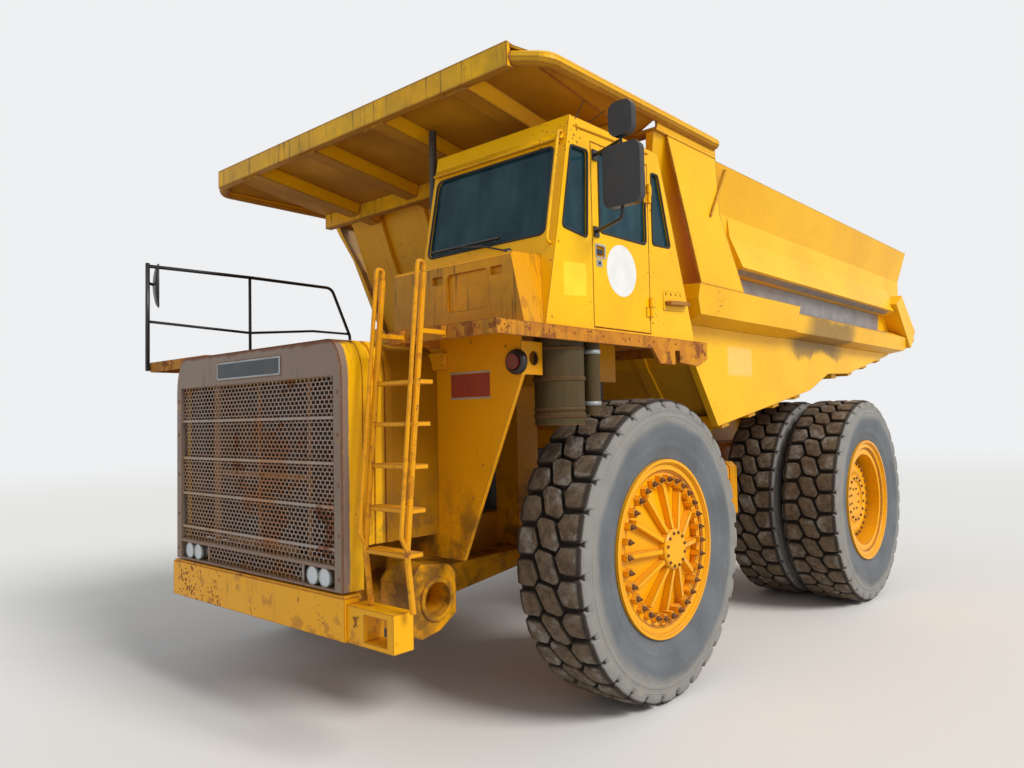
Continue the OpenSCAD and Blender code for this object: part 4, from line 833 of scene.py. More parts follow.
# What each node of the frame is finished in
NODE_FINISHES = {
    "hood_yellow": ["hood"],
    "floor_steel": ["bed_floor", "bed_front_wall"],
    "side_yellow": ["bed_side_left", "bed_side_right"],
    "canopy_yellow": ["bed_canopy"],
    "cab_yellow": ["cab_shell", "door_panel"],
    "locker_yellow": ["cab_locker"],
    "fender_yellow": ["front_fenders", "front_crossmember", "front_arms"],
    "ladder_yellow": ["ladder"],
    "frame_yellow": ["frame_rails", "side_tanks"],
    "bumper_yellow": ["bumper"],
    "oily_yellow": ["rear_axle", "knuckle_left", "knuckle_right"],
    "olive_drum": ["air_cleaner"],
    "shell_grey": ["radiator_shell"],
    "mesh_grey": ["grille_mesh"],
    "core_black": ["radiator"],
    "engine_grey": ["engine_block"],
    "deck_rust": ["deck_left", "deck_right"],
    "tube_black": ["guard_rail", "mirrors_left"],
    "strut_black": ["front_struts", "rear_struts", "vent_pipe", "hoist_barrel_left", "hoist_barrel_right"],
    "bright_rod": ["hoist_sleeve_left", "hoist_sleeve_right", "hoist_rod_left", "hoist_rod_right"],
    "glass": ["cab_glass", "door_glass"],
    "lamp": ["head_lamps"],
    "seat": ["cab_seat", "cab_controls"],
    "red_lens": ["side_lamps"],
    "rim_yellow": ["rim_front_left", "rim_front_right", "rims_rear_left", "rims_rear_right"],
}


class TRUCK_OT_finishes(bpy.types.Operator):
    """Make the finishes and put them on the frame's own pieces"""

    bl_idname = "truck.finishes"
    bl_label = "Finishes"

    def execute(self, context):
        make_finishes()
        for finish, nodes in NODE_FINISHES.items():
            for name in nodes:
                slots = NODES[name].data.materials
                slots.clear()
                slots.append(FINISHES[finish])
        return {"FINISHED"}


# Tyres


# Sidewall of the carcass from the bead out, in half widths and in radii
SIDEWALL = [(0.757, 0.5045), (0.775, 0.560), (0.794, 0.590), (0.815, 0.600), (0.812, 0.612), (0.862, 0.645),
            (0.905, 0.680), (0.912, 0.686), (0.906, 0.692), (0.950, 0.730), (0.982, 0.770), (0.997, 0.810),
            (0.990, 0.850), (0.978, 0.866), (0.990, 0.872), (0.990, 0.880), (0.972, 0.886), (0.958, 0.905),
            (0.968, 0.910), (0.962, 0.918), (0.940, 0.925)]


def carcass_profile(radius, half, depth):
    """Half of the carcass from the bead to the middle of the tread, as (distance from the middle, radius)."""
    base = radius - depth
    return [*((half * across, radius * up) for across, up in SIDEWALL), (half * 0.905, base - 0.004),
            (half * 0.800, base), (half * 0.400, base + 0.002), (0.0, base + 0.002)]


# Shoulder lug from its inner tip out and down the sidewall: across in half widths, radius, the lug's two
# sides in pitches, thickness under the top, and lean of the top from the tread (0) to the sidewall (90 degrees)
LUG_STATIONS = [(0.270, 0.9975, 0.30, 0.38, 1.10, 0), (0.330, 1.0000, 0.06, 0.52, 1.10, 0),
                (0.400, 1.0000, -0.15, 0.65, 1.10, 0), (0.560, 1.0000, -0.17, 0.67, 1.10, 0),
                (0.760, 0.9975, -0.165, 0.69, 1.08, 6), (0.880, 0.9890, -0.155, 0.70, 0.98, 26),
                (0.945, 0.9680, -0.135, 0.70, 0.75, 55), (0.972, 0.9420, -0.10, 0.68, 0.45, 78),
                (0.972, 0.9180, -0.05, 0.63, 0.20, 90)]
# Middle block: across in half widths and along in pitches
CENTRE_BLOCK = [(-0.355, 0.34), (-0.265, 0.52), (0.130, 0.42), (0.355, -0.34), (0.265, -0.52), (-0.130, -0.42)]
# Values of the tread attribute: bottom of a groove, flank and top of a lug
GROOVE, FLANK, TOP = 0.42, 0.62, 1.0
# Part of the radius at which the tread starts
TREAD_FROM = 0.93
# How much the wear varies over a lug: down in metres, and along in pitches
WEAR, UNEVEN = 0.004, 0.012


def add_lug(shape, tread, place, facing, angle, settings, size, dice):
    """One shoulder lug, lofted through its stations."""
    half, radius = size
    step = 2 * pi / settings.pitches
    rings = []
    for across, up, low, high, thick, lean in LUG_STATIONS:
        tilt = radians(lean)
        depth = settings.depth * thick
        round_off = min(settings.chamfer, depth * 0.4)
        edge = round_off / (radius * step)
        top = up * radius + dice.uniform(-WEAR, 0.0)
        outer = max(0.0, 1 - lean / 60)
        ring = []
        for along, sunk, shade in ((low - edge * 0.5, depth, GROOVE), (low, round_off, FLANK),
                                   (low + edge * 0.9, round_off * 0.22, TOP), ((low + high) / 2, 0.0, TOP),
                                   (high - edge * 0.9, round_off * 0.22, TOP), (high, round_off, FLANK),
                                   (high + edge * 0.5, depth, GROOVE)):
            ring.append(place(facing * (across * half - sunk * sin(tilt)),
                              top - sunk * cos(tilt) - dice.uniform(0.0, WEAR),
                              angle - facing * (along + dice.uniform(-UNEVEN, UNEVEN)) * step))
            tread.append(shade * outer)
        rings.append(ring)
    add_rings(shape, rings)


def add_centre_block(shape, tread, place, angle, settings, size, dice):
    """One six-sided block of the tread's middle row, with worn edges and a dished top."""
    half, radius = size
    step = 2 * pi / settings.pitches
    corners = [(across * half, along * step * radius, 0) for across, along in CENTRE_BLOCK]
    outline = rounded_loop(corners, 0.034, 2)
    rings = []
    for shrink, sunk, shade in ((1.08, settings.depth * 1.1, GROOVE), (1.0, settings.chamfer, FLANK),
                                (0.92, settings.chamfer * 0.22, TOP), (0.55, 0.001, TOP)):
        rings.append([place(p.x * shrink + dice.uniform(-0.003, 0.003), radius - sunk - dice.uniform(0.0, 0.005),
                            angle - (p.y * shrink + dice.uniform(-0.004, 0.004)) / radius) for p in outline])
        tread.extend([shade] * len(outline))
    add_rings(shape, rings)


def add_tyre(shape, marks, centre, settings, seed):
    """Carcass and lugs of one tyre whose axis runs along X."""
    half = TYRE_WIDTH / 2
    radius = TYRE_RADIUS
    dice = Random(seed)
    tread, ring = marks
    first = len(shape.points)

    def place(x, r, a):
        return Vector((centre.x + x, centre.y - r * sin(a), centre.z + r * cos(a)))

    side = carcass_profile(radius, half, settings.depth)
    profile = [(-x, r) for x, r in side] + [(x, r) for x, r in reversed(side[:-1])]
    rings = [[place(x, r, 2 * pi * k / settings.around) for x, r in profile] for k in range(settings.around)]
    rows = len(profile)
    faces = [(k * rows + i, k * rows + (i + 1) % rows, (k + 1) % settings.around * rows + (i + 1) % rows,
              (k + 1) % settings.around * rows + i) for k in range(settings.around) for i in range(rows)]
    shape.add([p for points in rings for p in points], faces, 0, True)
    tread.extend(GROOVE if r > radius * TREAD_FROM else 0.0 for _ in range(settings.around) for _, r in profile)
    step = 2 * pi / settings.pitches
    for k in range(settings.pitches):
        for facing in (1, -1):
            add_lug(shape, tread, place, facing, k * step, settings, (half, radius), dice)
        add_centre_block(shape, tread, place, k * step, settings, (half, radius), dice)
    ring.extend(Vector((p.y - centre.y, p.z - centre.z)).length / radius for p in shape.points[first:])


TYRE_SETS = (("tyre_front_left", "wheel_front_left"), ("tyre_front_right", "wheel_front_right"),
             ("tyres_rear_left", "wheels_rear_left"), ("tyres_rear_right", "wheels_rear_right"))


class TRUCK_OT_tyres(bpy.types.Operator):
    """Make the tyres with their lugs"""

    bl_idname = "truck.tyres"
    bl_label = "Tyres"

    def execute(self, context):
        settings = context.scene.truck_tyres
        for seed, (node, body) in enumerate(TYRE_SETS):
            low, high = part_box(node)
            middle = (low + high) / 2
            twin = high.x - low.x > TYRE_WIDTH * 1.5
            xs = [low.x + TYRE_WIDTH / 2, high.x - TYRE_WIDTH / 2] if twin else [middle.x]
            shape, marks = Shape(), ([], [])
            for x in xs:
                add_tyre(shape, marks, Vector((x, middle.y, middle.z)), settings, seed + x)
            piece = make_piece(node + "_treaded", shape, body, ["tyre"], [node])
            for name, values in zip(("tread", "ring"), marks):
                piece.data.attributes.new(name, "FLOAT", "POINT").data.foreach_set("value", values)
        return {"FINISHED"}


# Nose


def add_mesh_sheet(shape, x_low, x_high, z_low, z_high, y, grille):
    """Mesh between two rails: level strands joined by flared webs that are staggered from row to row."""
    rows = max(2, round((z_high - z_low) / grille.row))
    row = (z_high - z_low) / rows
    columns = round((x_high - x_low) / grille.pitch)
    pitch = (x_high - x_low) / columns
    half, deep = grille.strand / 2, grille.thick / 2
    back = deep - 0.0005
    # Heights of a web's sections, and how wide each is against the web's middle
    sections = ((half - 0.001, 1.8), (row * 0.34, 1.0), (row * 0.66, 1.0), (row - half + 0.001, 1.8))
    for j in range(rows + 1):
        z = z_low + row * j
        add_box(shape, (x_low, y - deep, z - half), (x_high, y + deep, z + half))
        if j == rows:
            break
        for k in range(columns + (j + 1) % 2):
            x = x_low + (k + 0.5 * (j % 2)) * pitch
            rings = []
            for rise, wide in sections:
                left = max(x - grille.web * wide / 2, x_low)
                right = min(x + grille.web * wide / 2, x_high)
                rings.append([Vector((px, y + py, z + rise)) for px, py in
                              ((left, -back), (right, -back), (right, back), (left, back))])
            add_rings(shape, rings)


class TRUCK_OT_grille(bpy.types.Operator):
    """Make the mesh before the radiator with its rails and the bars behind it"""

    bl_idname = "truck.grille"
    bl_label = "Grille"

    def execute(self, context):
        grille = context.scene.truck_grille
        shape = Shape()
        levels = [MESH_LOW, *RAILS, MESH_HIGH]
        for i, (bottom, top) in enumerate(zip(levels, levels[1:])):
            shift = 0.05 if i % 2 else 0.0
            add_mesh_sheet(shape, -MESH_HALF + shift, MESH_HALF, bottom, top, MESH_Y + 0.004 * (i % 2), grille)
        add_mesh_sheet(shape, -0.70, 0.70, 1.175, 1.312, -4.927, grille)
        for z in RAILS:
            rail = front_rectangle(RAIL_Y, -MESH_HALF, MESH_HALF, z - 0.012, z + 0.012)
            add_plate(shape, rail, AHEAD, 0.008, bevel=0.003)
        for x in (-0.71, 0.71):
            add_strip(shape, [(x, -4.925, 1.165), (x, -4.925, 1.318)], AHEAD, 0.03, 0.006, closed=False)
        make_piece("grille_mesh_open", shape, "chassis", ["mesh_grey"], ["grille_mesh"])
        bars = Shape()
        for x, width in ((-0.59, 0.11), (0.085, 0.035), (0.78, 0.05)):
            add_strip(bars, [(x, UPRIGHTS_Y, 1.34), (x, UPRIGHTS_Y, 2.655)], AHEAD, width, 0.010, closed=False)
        for x_low, x_high, z, width in ((-0.59, 0.78, 1.93, 0.05), (-0.45, 0.60, 1.39, 0.07)):
            add_strip(bars, [(x_low, CROSSBARS_Y, z), (x_high, CROSSBARS_Y, z)], AHEAD, width, 0.006, closed=False)
        make_piece("grille_bars", bars, "chassis", ["bar_rust"])
        panels = Shape()
        for x_low, x_high, z_low, z_high in ((-MESH_HALF, MESH_HALF, 1.165, 1.350),
                                             (-MESH_HALF, -0.880, 1.350, MESH_HIGH),
                                             (0.880, MESH_HALF, 1.350, MESH_HIGH)):
            add_plate(panels, front_rectangle(SURROUND_Y, x_low, x_high, z_low, z_high), AHEAD, 0.004)
        make_piece("radiator_surround", panels, "chassis", ["core_black"])
        return {"FINISHED"}


# Section of a head lamp's rim: distance ahead of the lamp's face, and radius
LAMP_RIM = [(-0.03, 0.062), (-0.03, 0.070), (0.004, 0.070), (0.010, 0.066), (0.004, 0.060)]


class TRUCK_OT_nose(bpy.types.Operator):
    """Make the blank plate, the lamp rims and the bolts of the radiator shell"""

    bl_idname = "truck.nose"
    bl_label = "Nose fittings"

    def execute(self, context):
        fittings = context.scene.truck_fittings
        badge = Shape()
        outline = rounded_loop(front_rectangle(-4.9675, -0.475, 0.475, 2.712, 2.842), 0.012)
        add_plate(badge, outline, AHEAD, 0.002, 0, 0.001)
        add_strip(badge, outline, AHEAD, 0.016, 0.005, 1)
        make_piece("badge_plate_blank", badge, "chassis", ["blank_dark", "plate_pale"])
        rims = Shape()
        for x in LAMP_XS:
            add_turned(rims, (x, -4.946, LAMP_Z), AHEAD, LAMP_RIM, 32, closed=True)
        make_piece("head_lamp_rims", rims, "chassis", ["plate_pale"])
        bolts = Shape()
        for side in (-1, 1):
            for z in (1.25, 1.55, 1.90, 2.25, 2.55):
                add_bolt(bolts, (side * 1.195, SHELL_FRONT_Y, z), AHEAD, fittings.bolt_radius * 0.8,
                         fittings.bolt_height * 0.8)
        make_piece("shell_bolts", bolts, "chassis", ["shell_grey"])
        return {"FINISHED"}


# Wheels


FRONT_WHEELS = (("wheel_front_left", 1), ("wheel_front_right", -1))
REAR_WHEELS = (("wheels_rear_left", 1), ("wheels_rear_right", -1))
# Section of a rear hub's flange: distance out from the rim's middle, and radius
FLANGE = [(0.060, 0.300), (0.060, 0.480), (0.080, 0.486), (0.108, 0.480), (0.110, 0.420), (0.124, 0.400),
          (0.124, 0.300)]


def add_nut_ring(shape, centre, out, count, radius, place, nut, height, stud=0):
    """Nuts evenly round an axle at a distance out from centre, on studs that stand past them."""
    for k in range(count):
        a = 2 * pi * (k + 0.5) / count
        at = Vector((centre[0] + out * place, centre[1] + radius * sin(a), centre[2] + radius * cos(a)))
        add_bolt(shape, at, (out, 0, 0), nut, height)
        if stud:
            add_turned(shape, at, (out, 0, 0), [(0, nut * 0.45), (stud, nut * 0.45)], 8, smooth=False)


# Rings of nuts on a front and on a rear wheel. The first has as many nuts as the settings say, the others as many
# as stand first here. Then come the ring's radius, its distance out from the rim's middle, the size of a nut
# against the settings' nut, and the length of its stud
FRONT_RINGS = ((None, 0.566, 0.282, 1.0, 0.042), (12, 0.135, 0.366, 0.55, 0))
REAR_RINGS = ((None, 0.448, 0.110, 0.8, 0.020), (16, 0.260, 0.134, 0.75, 0), (8, 0.130, 0.119, 0.6, 0))


class TRUCK_OT_nuts(bpy.types.Operator):
    """Make the studs and nuts of the rims, the bolts of the hubs and the flanges of the rear hubs"""

    bl_idname = "truck.nuts"
    bl_label = "Rim nuts"

    def execute(self, context):
        fittings = context.scene.truck_fittings
        for wheels, rings, x, y in ((FRONT_WHEELS, FRONT_RINGS, FRONT_RIM_X, FRONT_AXLE_Y),
                                    (REAR_WHEELS, REAR_RINGS, REAR_RIM_X, REAR_AXLE_Y)):
            for body, out in wheels:
                shape, centre = Shape(), (out * x, y, AXLE_Z)
                for count, radius, place, size, stud in rings:
                    add_nut_ring(shape, centre, out, count or fittings.nuts, radius, place,
                                 fittings.nut_radius * size, fittings.nut_height * size, stud)
                make_piece(body + "_nuts", shape, body, ["stud_brown"])
                if wheels is REAR_WHEELS:
                    flange = Shape()
                    add_turned(flange, centre, (out, 0, 0), FLANGE, 60, closed=True)
                    make_piece(body + "_flange", flange, body, ["rim_yellow"])
        return {"FINISHED"}


# Cab


# The cab's leaning front and back: y and z of a point on each, and how far it leans over how much height
FRONT_Y, FRONT_Z, FRONT_LEAN, FRONT_RISE = -3.870, 3.600, 0.191, 0.967
BACK_Y, BACK_Z, BACK_LEAN, BACK_RISE = -1.900, 2.990, 0.555, 1.577
FRONT_NORMAL = Vector((0, -FRONT_RISE, FRONT_LEAN)).normalized()
BACK_NORMAL = Vector((0, BACK_RISE, BACK_LEAN)).normalized()
# Middle and radius of the blank disc on the door
DISC_Y, DISC_Z, DISC_RADIUS = -3.040, 3.485, 0.205


def front_plane(x, z, proud=0.0):
    """Point on the cab's leaning front, or a little before it."""
    return Vector((x, FRONT_Y + (z - FRONT_Z) * FRONT_LEAN / FRONT_RISE, z)) + FRONT_NORMAL * proud


def back_plane(x, z):
    """Point on the cab's leaning back."""
    return Vector((x, BACK_Y - (z - BACK_Z) * BACK_LEAN / BACK_RISE, z))


def add_rubber(shape, loop, normal, fittings):
    """Rubber round a window: a wide strip with a narrow one standing on it."""
    add_strip(shape, loop, normal, fittings.gasket, fittings.gasket_height)
    add_strip(shape, loop, normal, fittings.gasket * 0.4, fittings.gasket_height * 1.5)


class TRUCK_OT_windows(bpy.types.Operator):
    """Make the rubber round the windows and the wiper"""

    bl_idname = "truck.windows"
    bl_label = "Window rubbers"

    def execute(self, context):
        fittings = context.scene.truck_fittings
        cab, door = Shape(), Shape()
        sides = (
            (cab, CAB_OUT, 1, 0.030, [(-3.790, 3.717), (-3.494, 3.680), (-3.466, 4.345), (-3.672, 4.340)]),
            (cab, CAB_OUT, 1, 0.030, [(-2.572, 3.768), (-2.285, 3.780), (-2.465, 4.374), (-2.572, 4.374)]),
            (door, CAB_OUT, 1, 0.045, [(-3.330, 3.750), (-2.674, 3.750), (-2.674, 4.382), (-3.330, 4.382)]),
            (cab, CAB_IN, -1, 0.050, [(-3.740, 3.660), (-2.700, 3.660), (-2.700, 4.330), (-3.640, 4.330)]),
        )
        for shape, x, out, bend, corners in sides:
            add_rubber(shape, rounded_loop(side_outline(x, *corners), bend), (out, 0, 0), fittings)
        screen = [front_plane(x, z) for x, z in ((0.935, 3.670), (2.190, 3.670), (2.190, 4.345), (0.935, 4.345))]
        back = [back_plane(x, z) for x, z in ((1.10, 3.70), (2.15, 3.70), (2.15, 4.25), (1.10, 4.25))]
        add_rubber(cab, rounded_loop(screen, 0.060), FRONT_NORMAL, fittings)
        add_rubber(cab, rounded_loop(back, 0.050), BACK_NORMAL, fittings)
        make_piece("window_rubbers", cab, "chassis", ["gasket"])
        make_piece("door_window_rubber", door, "door", ["gasket"])
        wiper = Shape()
        pivot = [(-0.002, 0.030), (0.012, 0.028), (0.022, 0.016), (0.040, 0.014)]
        add_turned(wiper, front_plane(1.850, 3.585), FRONT_NORMAL, pivot, 16)
        arm = [front_plane(x, z, proud) for x, z, proud in ((1.850, 3.585, 0.030), (1.600, 3.660, 0.035),
                                                            (1.330, 3.700, 0.030))]
        add_tube(wiper, arm, 0.007, 8)
        blade = [front_plane(1.76, 3.705, 0.016), front_plane(0.99, 3.705, 0.016)]
        add_strip(wiper, blade, FRONT_NORMAL, 0.018, 0.018, closed=False, sunk=0.004)
        add_turned(wiper, front_plane(1.330, 3.700, 0.012), FRONT_NORMAL, [(0, 0.012), (0.026, 0.010)], 10)
        make_piece("wiper", wiper, "chassis", ["tube_black"])
        return {"FINISHED"}


class TRUCK_OT_cab_trim(bpy.types.Operator):
    """Make the door's handle and blank disc, the side step, the aerials and the bolts of the cab"""

    bl_idname = "truck.cab_trim"
    bl_label = "Cab fittings"

    def execute(self, context):
        fittings = context.scene.truck_fittings
        door = Shape()
        turns = [2 * pi * k / 48 for k in range(48)]
        disc = [(CAB_OUT, DISC_Y + DISC_RADIUS * cos(a), DISC_Z + DISC_RADIUS * sin(a)) for a in turns]
        add_plate(door, disc, LEFT, 0.0016, 0, 0.0006)
        recess = side_rectangle(CAB_OUT, -3.388, -3.266, 3.552, 3.648)
        add_strip(door, rounded_loop(recess, 0.010), LEFT, 0.016, 0.004, 1)
        paddle = side_rectangle(2.284, -3.372, -3.285, 3.575, 3.618)
        add_plate(door, rounded_loop(paddle, 0.008), LEFT, 0.013, 2, 0.004)
        lock = side_rectangle(CAB_OUT, -3.382, -3.302, 3.478, 3.536)
        add_plate(door, rounded_loop(lock, 0.008), LEFT, 0.003, 1)
        add_turned(door, (CAB_OUT, -3.342, 3.507), LEFT, [(-0.001, 0.013), (0.008, 0.013), (0.010, 0.009)], 16, 2)
        make_piece("door_fittings", door, "door", ["blank_white", "plate_pale", "tube_black"])
        blank = Shape()
        corners = side_outline(CAB_OUT, (-3.790, 3.215), (-3.515, 3.235), (-3.515, 3.480), (-3.790, 3.460))
        add_plate(blank, corners, LEFT, 0.0012, 0, 0.0005)
        make_piece("sticker_blank", blank, "chassis", ["blank_yellow"])
        step = Shape()
        back = side_outline(CAB_OUT, (-2.430, 3.225), (-2.060, 3.245), (-2.075, 3.415), (-2.430, 3.395))
        add_plate(step, rounded_loop(back, 0.012), LEFT, 0.005, 0)
        for y in (-2.385, -2.305, -2.225, -2.145):
            add_bolt(step, (CAB_OUT + 0.005, y, 3.372 + (y + 2.385) * 0.05), LEFT, 0.008, 0.006, 0)
        tread = [(2.302, -2.400, 3.275), (2.302, -2.100, 3.292), (2.362, -2.100, 3.292), (2.362, -2.400, 3.275)]
        add_plate(step, tread, UP, 0.032, 1, 0.006)
        add_turned(step, (2.335, -2.100, 3.308), (0, 1, 0), [(-0.004, 0.015), (0.045, 0.015), (0.050, 0.010)], 14,
                   1)
        make_piece("side_step", step, "chassis", ["cab_yellow", "bar_rust"])
        aerial = Shape()
        add_turned(aerial, (2.235, -3.700, 4.350), (0, 0.2, 1), [(-0.01, 0.016), (0.02, 0.016), (0.06, 0.006)], 12)
        for middle, tip in (((2.225, -3.400, 4.575), (2.200, -3.060, 4.800)),
                            ((2.240, -3.520, 4.60), (2.245, -3.420, 4.760))):
            add_tube(aerial, [(2.235, -3.690, 4.40), middle, tip], 0.0035, 6)
        make_piece("aerial", aerial, "chassis", ["tube_black"])
        bolts = Shape()
        for z in (3.105, 3.195, 4.055, 4.145):
            add_bolt(bolts, (CAB_OUT, -2.595, z), LEFT, fittings.bolt_radius * 0.6, 0.006)
        for y, z in ((-3.930, 3.05), (-3.930, 3.45), (-3.835, 3.60)):
            add_bolt(bolts, (CAB_OUT, y, z), LEFT, fittings.bolt_radius * 0.5, 0.005)
        make_piece("cab_bolts", bolts, "chassis", ["cab_yellow"])
        return {"FINISHED"}


def add_cushion(shape, centre, half, lean=0.0, crown=0.16, pull=0.05, cells=10):
    """Crowned cushion with rounded edges whose sides pull in between its corners, and a welt round it."""
    turn = Matrix.Rotation(lean, 3, "X")

    def place(u, v, w):
        length = (abs(u) ** 5 + abs(v) ** 5 + abs(w) ** 5) ** 0.2
        u, v, w = u / length, v / length, w / length
        swell = 1 + crown * (1 - u * u) * (1 - v * v)
        inset_u, inset_v = 1 - pull * (1 - v * v), 1 - pull * (1 - u * u)
        return Vector(centre) + turn @ Vector((u * inset_u * half[0], v * inset_v * half[1],
                                               w * half[2] * (swell if w > 0 else 1)))

    for axis in range(3):
        for facing in (-1, 1):
            points = []
            for i in range(cells + 1):
                for j in range(cells + 1):
                    flat = [-1 + 2 * i / cells, -1 + 2 * j / cells]
                    flat.insert(axis, facing)
                    points.append(place(*flat))
            faces = [(i * (cells + 1) + j, (i + 1) * (cells + 1) + j, (i + 1) * (cells + 1) + j + 1,
                      i * (cells + 1) + j + 1) for i in range(cells) for j in range(cells)]
            shape.add(points, faces, 0, True)
    edge = [(-1, -1), (1, -1), (1, 1), (-1, 1)]
    welt = []
    for (u0, v0), (u1, v1) in zip(edge, edge[1:] + edge[:1]):
        welt += [place(u0 + (u1 - u0) * k / 8, v0 + (v1 - v0) * k / 8, 0.62) for k in range(8)]
    add_tube(shape, welt, 0.005, 6, 0, True)


# Middle of the seat's base, and half its width, half its depth and its height at each step up
SEAT_X, SEAT_Y = 1.73, -2.85
SEAT_BASE = ((0.200, 0.200, 3.036), (0.200, 0.200, 3.060), (0.150, 0.150, 3.075), (0.150, 0.150, 3.270),
             (0.215, 0.205, 3.290), (0.215, 0.205, 3.300))
# Name, what it stands for, middle, half sizes and lean of each cushion
CUSHIONS = (("seat_cushion", ["cab_seat"], (SEAT_X, -2.855, 3.365), (0.245, 0.240, 0.062), 0.0),
            ("seat_back", [], (SEAT_X, -2.650, 3.735), (0.232, 0.300, 0.055), radians(78)),
            ("seat_headrest", [], (SEAT_X, -2.600, 4.105), (0.125, 0.078, 0.040), radians(82)))


class TRUCK_OT_seat(bpy.types.Operator):
    """Make the driver's seat with padded cushions on a plain base"""

    bl_idname = "truck.seat"
    bl_label = "Seat"

    def execute(self, context):
        base = Shape()
        add_rings(base, [rounded_loop([(SEAT_X - w, SEAT_Y - d, z), (SEAT_X + w, SEAT_Y - d, z),
                                       (SEAT_X + w, SEAT_Y + d, z), (SEAT_X - w, SEAT_Y + d, z)], 0.04)
                         for w, d, z in SEAT_BASE])
        make_piece("seat_base", base, "chassis", ["strut_black"])
        for name, nodes, centre, half, lean in CUSHIONS:
            shape = Shape()
            add_cushion(shape, centre, half, lean)
            piece = make_piece(name, shape, "chassis", ["seat"], nodes)
        return {"FINISHED"}


# Decks and fenders


# Section of the ring round a side lamp: distance ahead of the fender, and radius
LAMP_RING = [(-0.001, 0.092), (0.020, 0.092), (0.040, 0.084), (0.046, 0.072), (0.046, 0.058), (-0.001, 0.058)]


class TRUCK_OT_decks(bpy.types.Operator):
    """Make the bolts, the blank plates and the lamp rings of the fenders and decks"""

    bl_idname = "truck.decks"
    bl_label = "Fender fittings"

    def execute(self, context):
        fittings = context.scene.truck_fittings
        fender = Shape()
        box, deep = front_rectangle(FENDER_Y, 0.62, 1.343, 2.720, 2.860), 0.034
        add_plate(fender, rounded_loop(box, 0.014), AHEAD, deep, 0, 0.010)
        for z in (2.76, 2.83):
            clip = [(1.305, FENDER_Y - deep, z), (1.315, FENDER_Y - deep, z)]
            add_strip(fender, clip, AHEAD, 0.010, 0.003, closed=False)
        add_plate(fender, front_rectangle(FENDER_Y, 1.380, 1.790, 2.505, 2.680), AHEAD, 0.0016, 1, 0.0006)
        for z in (2.497, 2.690):
            edge = [(1.375, FENDER_Y, z), (1.795, FENDER_Y, z)]
            add_strip(fender, edge, AHEAD, 0.014, 0.0024, 2, closed=False)
        for x, z in ((1.52, 1.45), (1.60, 1.75), (1.70, 2.00), (0.70, 2.60), (1.95, 2.86), (1.60, 2.92),
                     (1.25, 2.92)):
            add_bolt(fender, (x, FENDER_Y, z), AHEAD, fittings.bolt_radius * 0.7, fittings.bolt_height * 0.7, 0)
        make_piece("fender_fittings_left", fender, "chassis",
                   ["fender_yellow", "blank_red", "plate_pale"])
        lamps = Shape()
        for side in (-1, 1):
            add_turned(lamps, (side * 2.065, FENDER_Y, 2.740), AHEAD, LAMP_RING, 36, closed=True)
        make_piece("side_lamp_rings", lamps, "chassis", ["tube_black"])
        deck = Shape()
        for k in range(8):
            add_bolt(deck, (2.330, -4.42 + 0.355 * k, 2.945), LEFT, fittings.bolt_radius * 0.6, 0.006)
        make_piece("deck_bolts", deck, "chassis", ["deck_rust"])
        bands = Shape()
        for z in (2.440, 2.830):
            add_band(bands, (2.215, -3.360, z), UP, 0.016, 0.063, 0.070, 28)
        for z in (2.40, 2.62, 2.85):
            add_band(bands, (2.090, -3.600, z), UP, 0.012, 0.187, 0.193, 40, 1)
        make_piece("air_cleaner_bands", bands, "chassis", ["plate_pale", "olive_drum"])
        return {"FINISHED"}


# Section of the round mirror's back and rim, and of its glass: distance towards where it looks, and radius
MIRROR_BACK = [(-0.045, 0.030), (-0.040, 0.090), (-0.020, 0.190), (0.0, 0.228), (0.014, 0.235), (0.022, 0.232),
               (0.022, 0.224), (0.018, 0.220)]
MIRROR_GLASS = [(0.014, 0.221), (0.020, 0.215), (0.026, 0.120), (0.028, 0.020)]


class TRUCK_OT_rail(bpy.types.Operator):
    """Make the guard rail of the right deck with its round mirror"""

    bl_idname = "truck.rail"
    bl_label = "Guard rail"

    def execute(self, context):
        x, end, middle = -2.460, -4.700, -3.540
        rail = Shape()
        add_tube(rail, [(x, end, DECK_TOP), (x, end, 4.030)], 0.022, 14)
        add_tube(rail, bent([(x, end, 4.000), (x, middle, 4.020), (x, -2.420, 4.020), (x, -2.150, 3.440),
                             (x, -2.100, DECK_TOP)], 0.12), 0.019, 14)
        add_tube(rail, [(x, middle, DECK_TOP), (x, middle, 4.012)], 0.017, 14)
        add_tube(rail, bent([(x, end, 3.420), (x, middle, 3.380), (x, -2.700, 3.460), (x, -2.170, 3.460)], 0.30),
                 0.015, 12)
        for y in (end + 0.015, middle, -2.100):
            foot = side_rectangle(x + 0.004, y - 0.034, y + 0.034, DECK_TOP, 2.985)
            add_plate(rail, rounded_loop(foot, 0.008), LEFT, 0.016)
        mirror, looks = Vector((-2.600, end + 0.160, 3.830)), Vector((0.413, 0.911, 0))
        add_tube(rail, [(x, end, 3.830), mirror - looks * 0.03], 0.015, 12)
        add_turned(rail, mirror, looks, MIRROR_BACK, 48)
        add_turned(rail, mirror, looks, MIRROR_GLASS, 48, 1)
        make_piece("guard_rail_round", rail, "chassis", ["tube_black", "bright_rod"], ["guard_rail"])
        return {"FINISHED"}


# Stage


BACKGROUND = (0.86, 0.87, 0.88, 1)
FLOOR_TONE, FLOOR_REACH, FLOOR_DROP = (0.78, 0.77, 0.75, 1), 60.0, 0.01
# Distances from the truck at which the floor starts and ends its change to the background
FADE_FROM, FADE_TO = 14.0, 45.0
SUN_TOWARDS, SUN_SPREAD, SUN_TONE = Vector((-0.76, -0.04, -0.65)), radians(25), (1.0, 0.98, 0.94)
SKY_TONE = (0.92, 0.96, 1.0, 1)
# Camera: width of the sensor in millimetres, and how far it sees in metres
SENSOR_WIDTH, SEES_TO = 36.0, 300.0


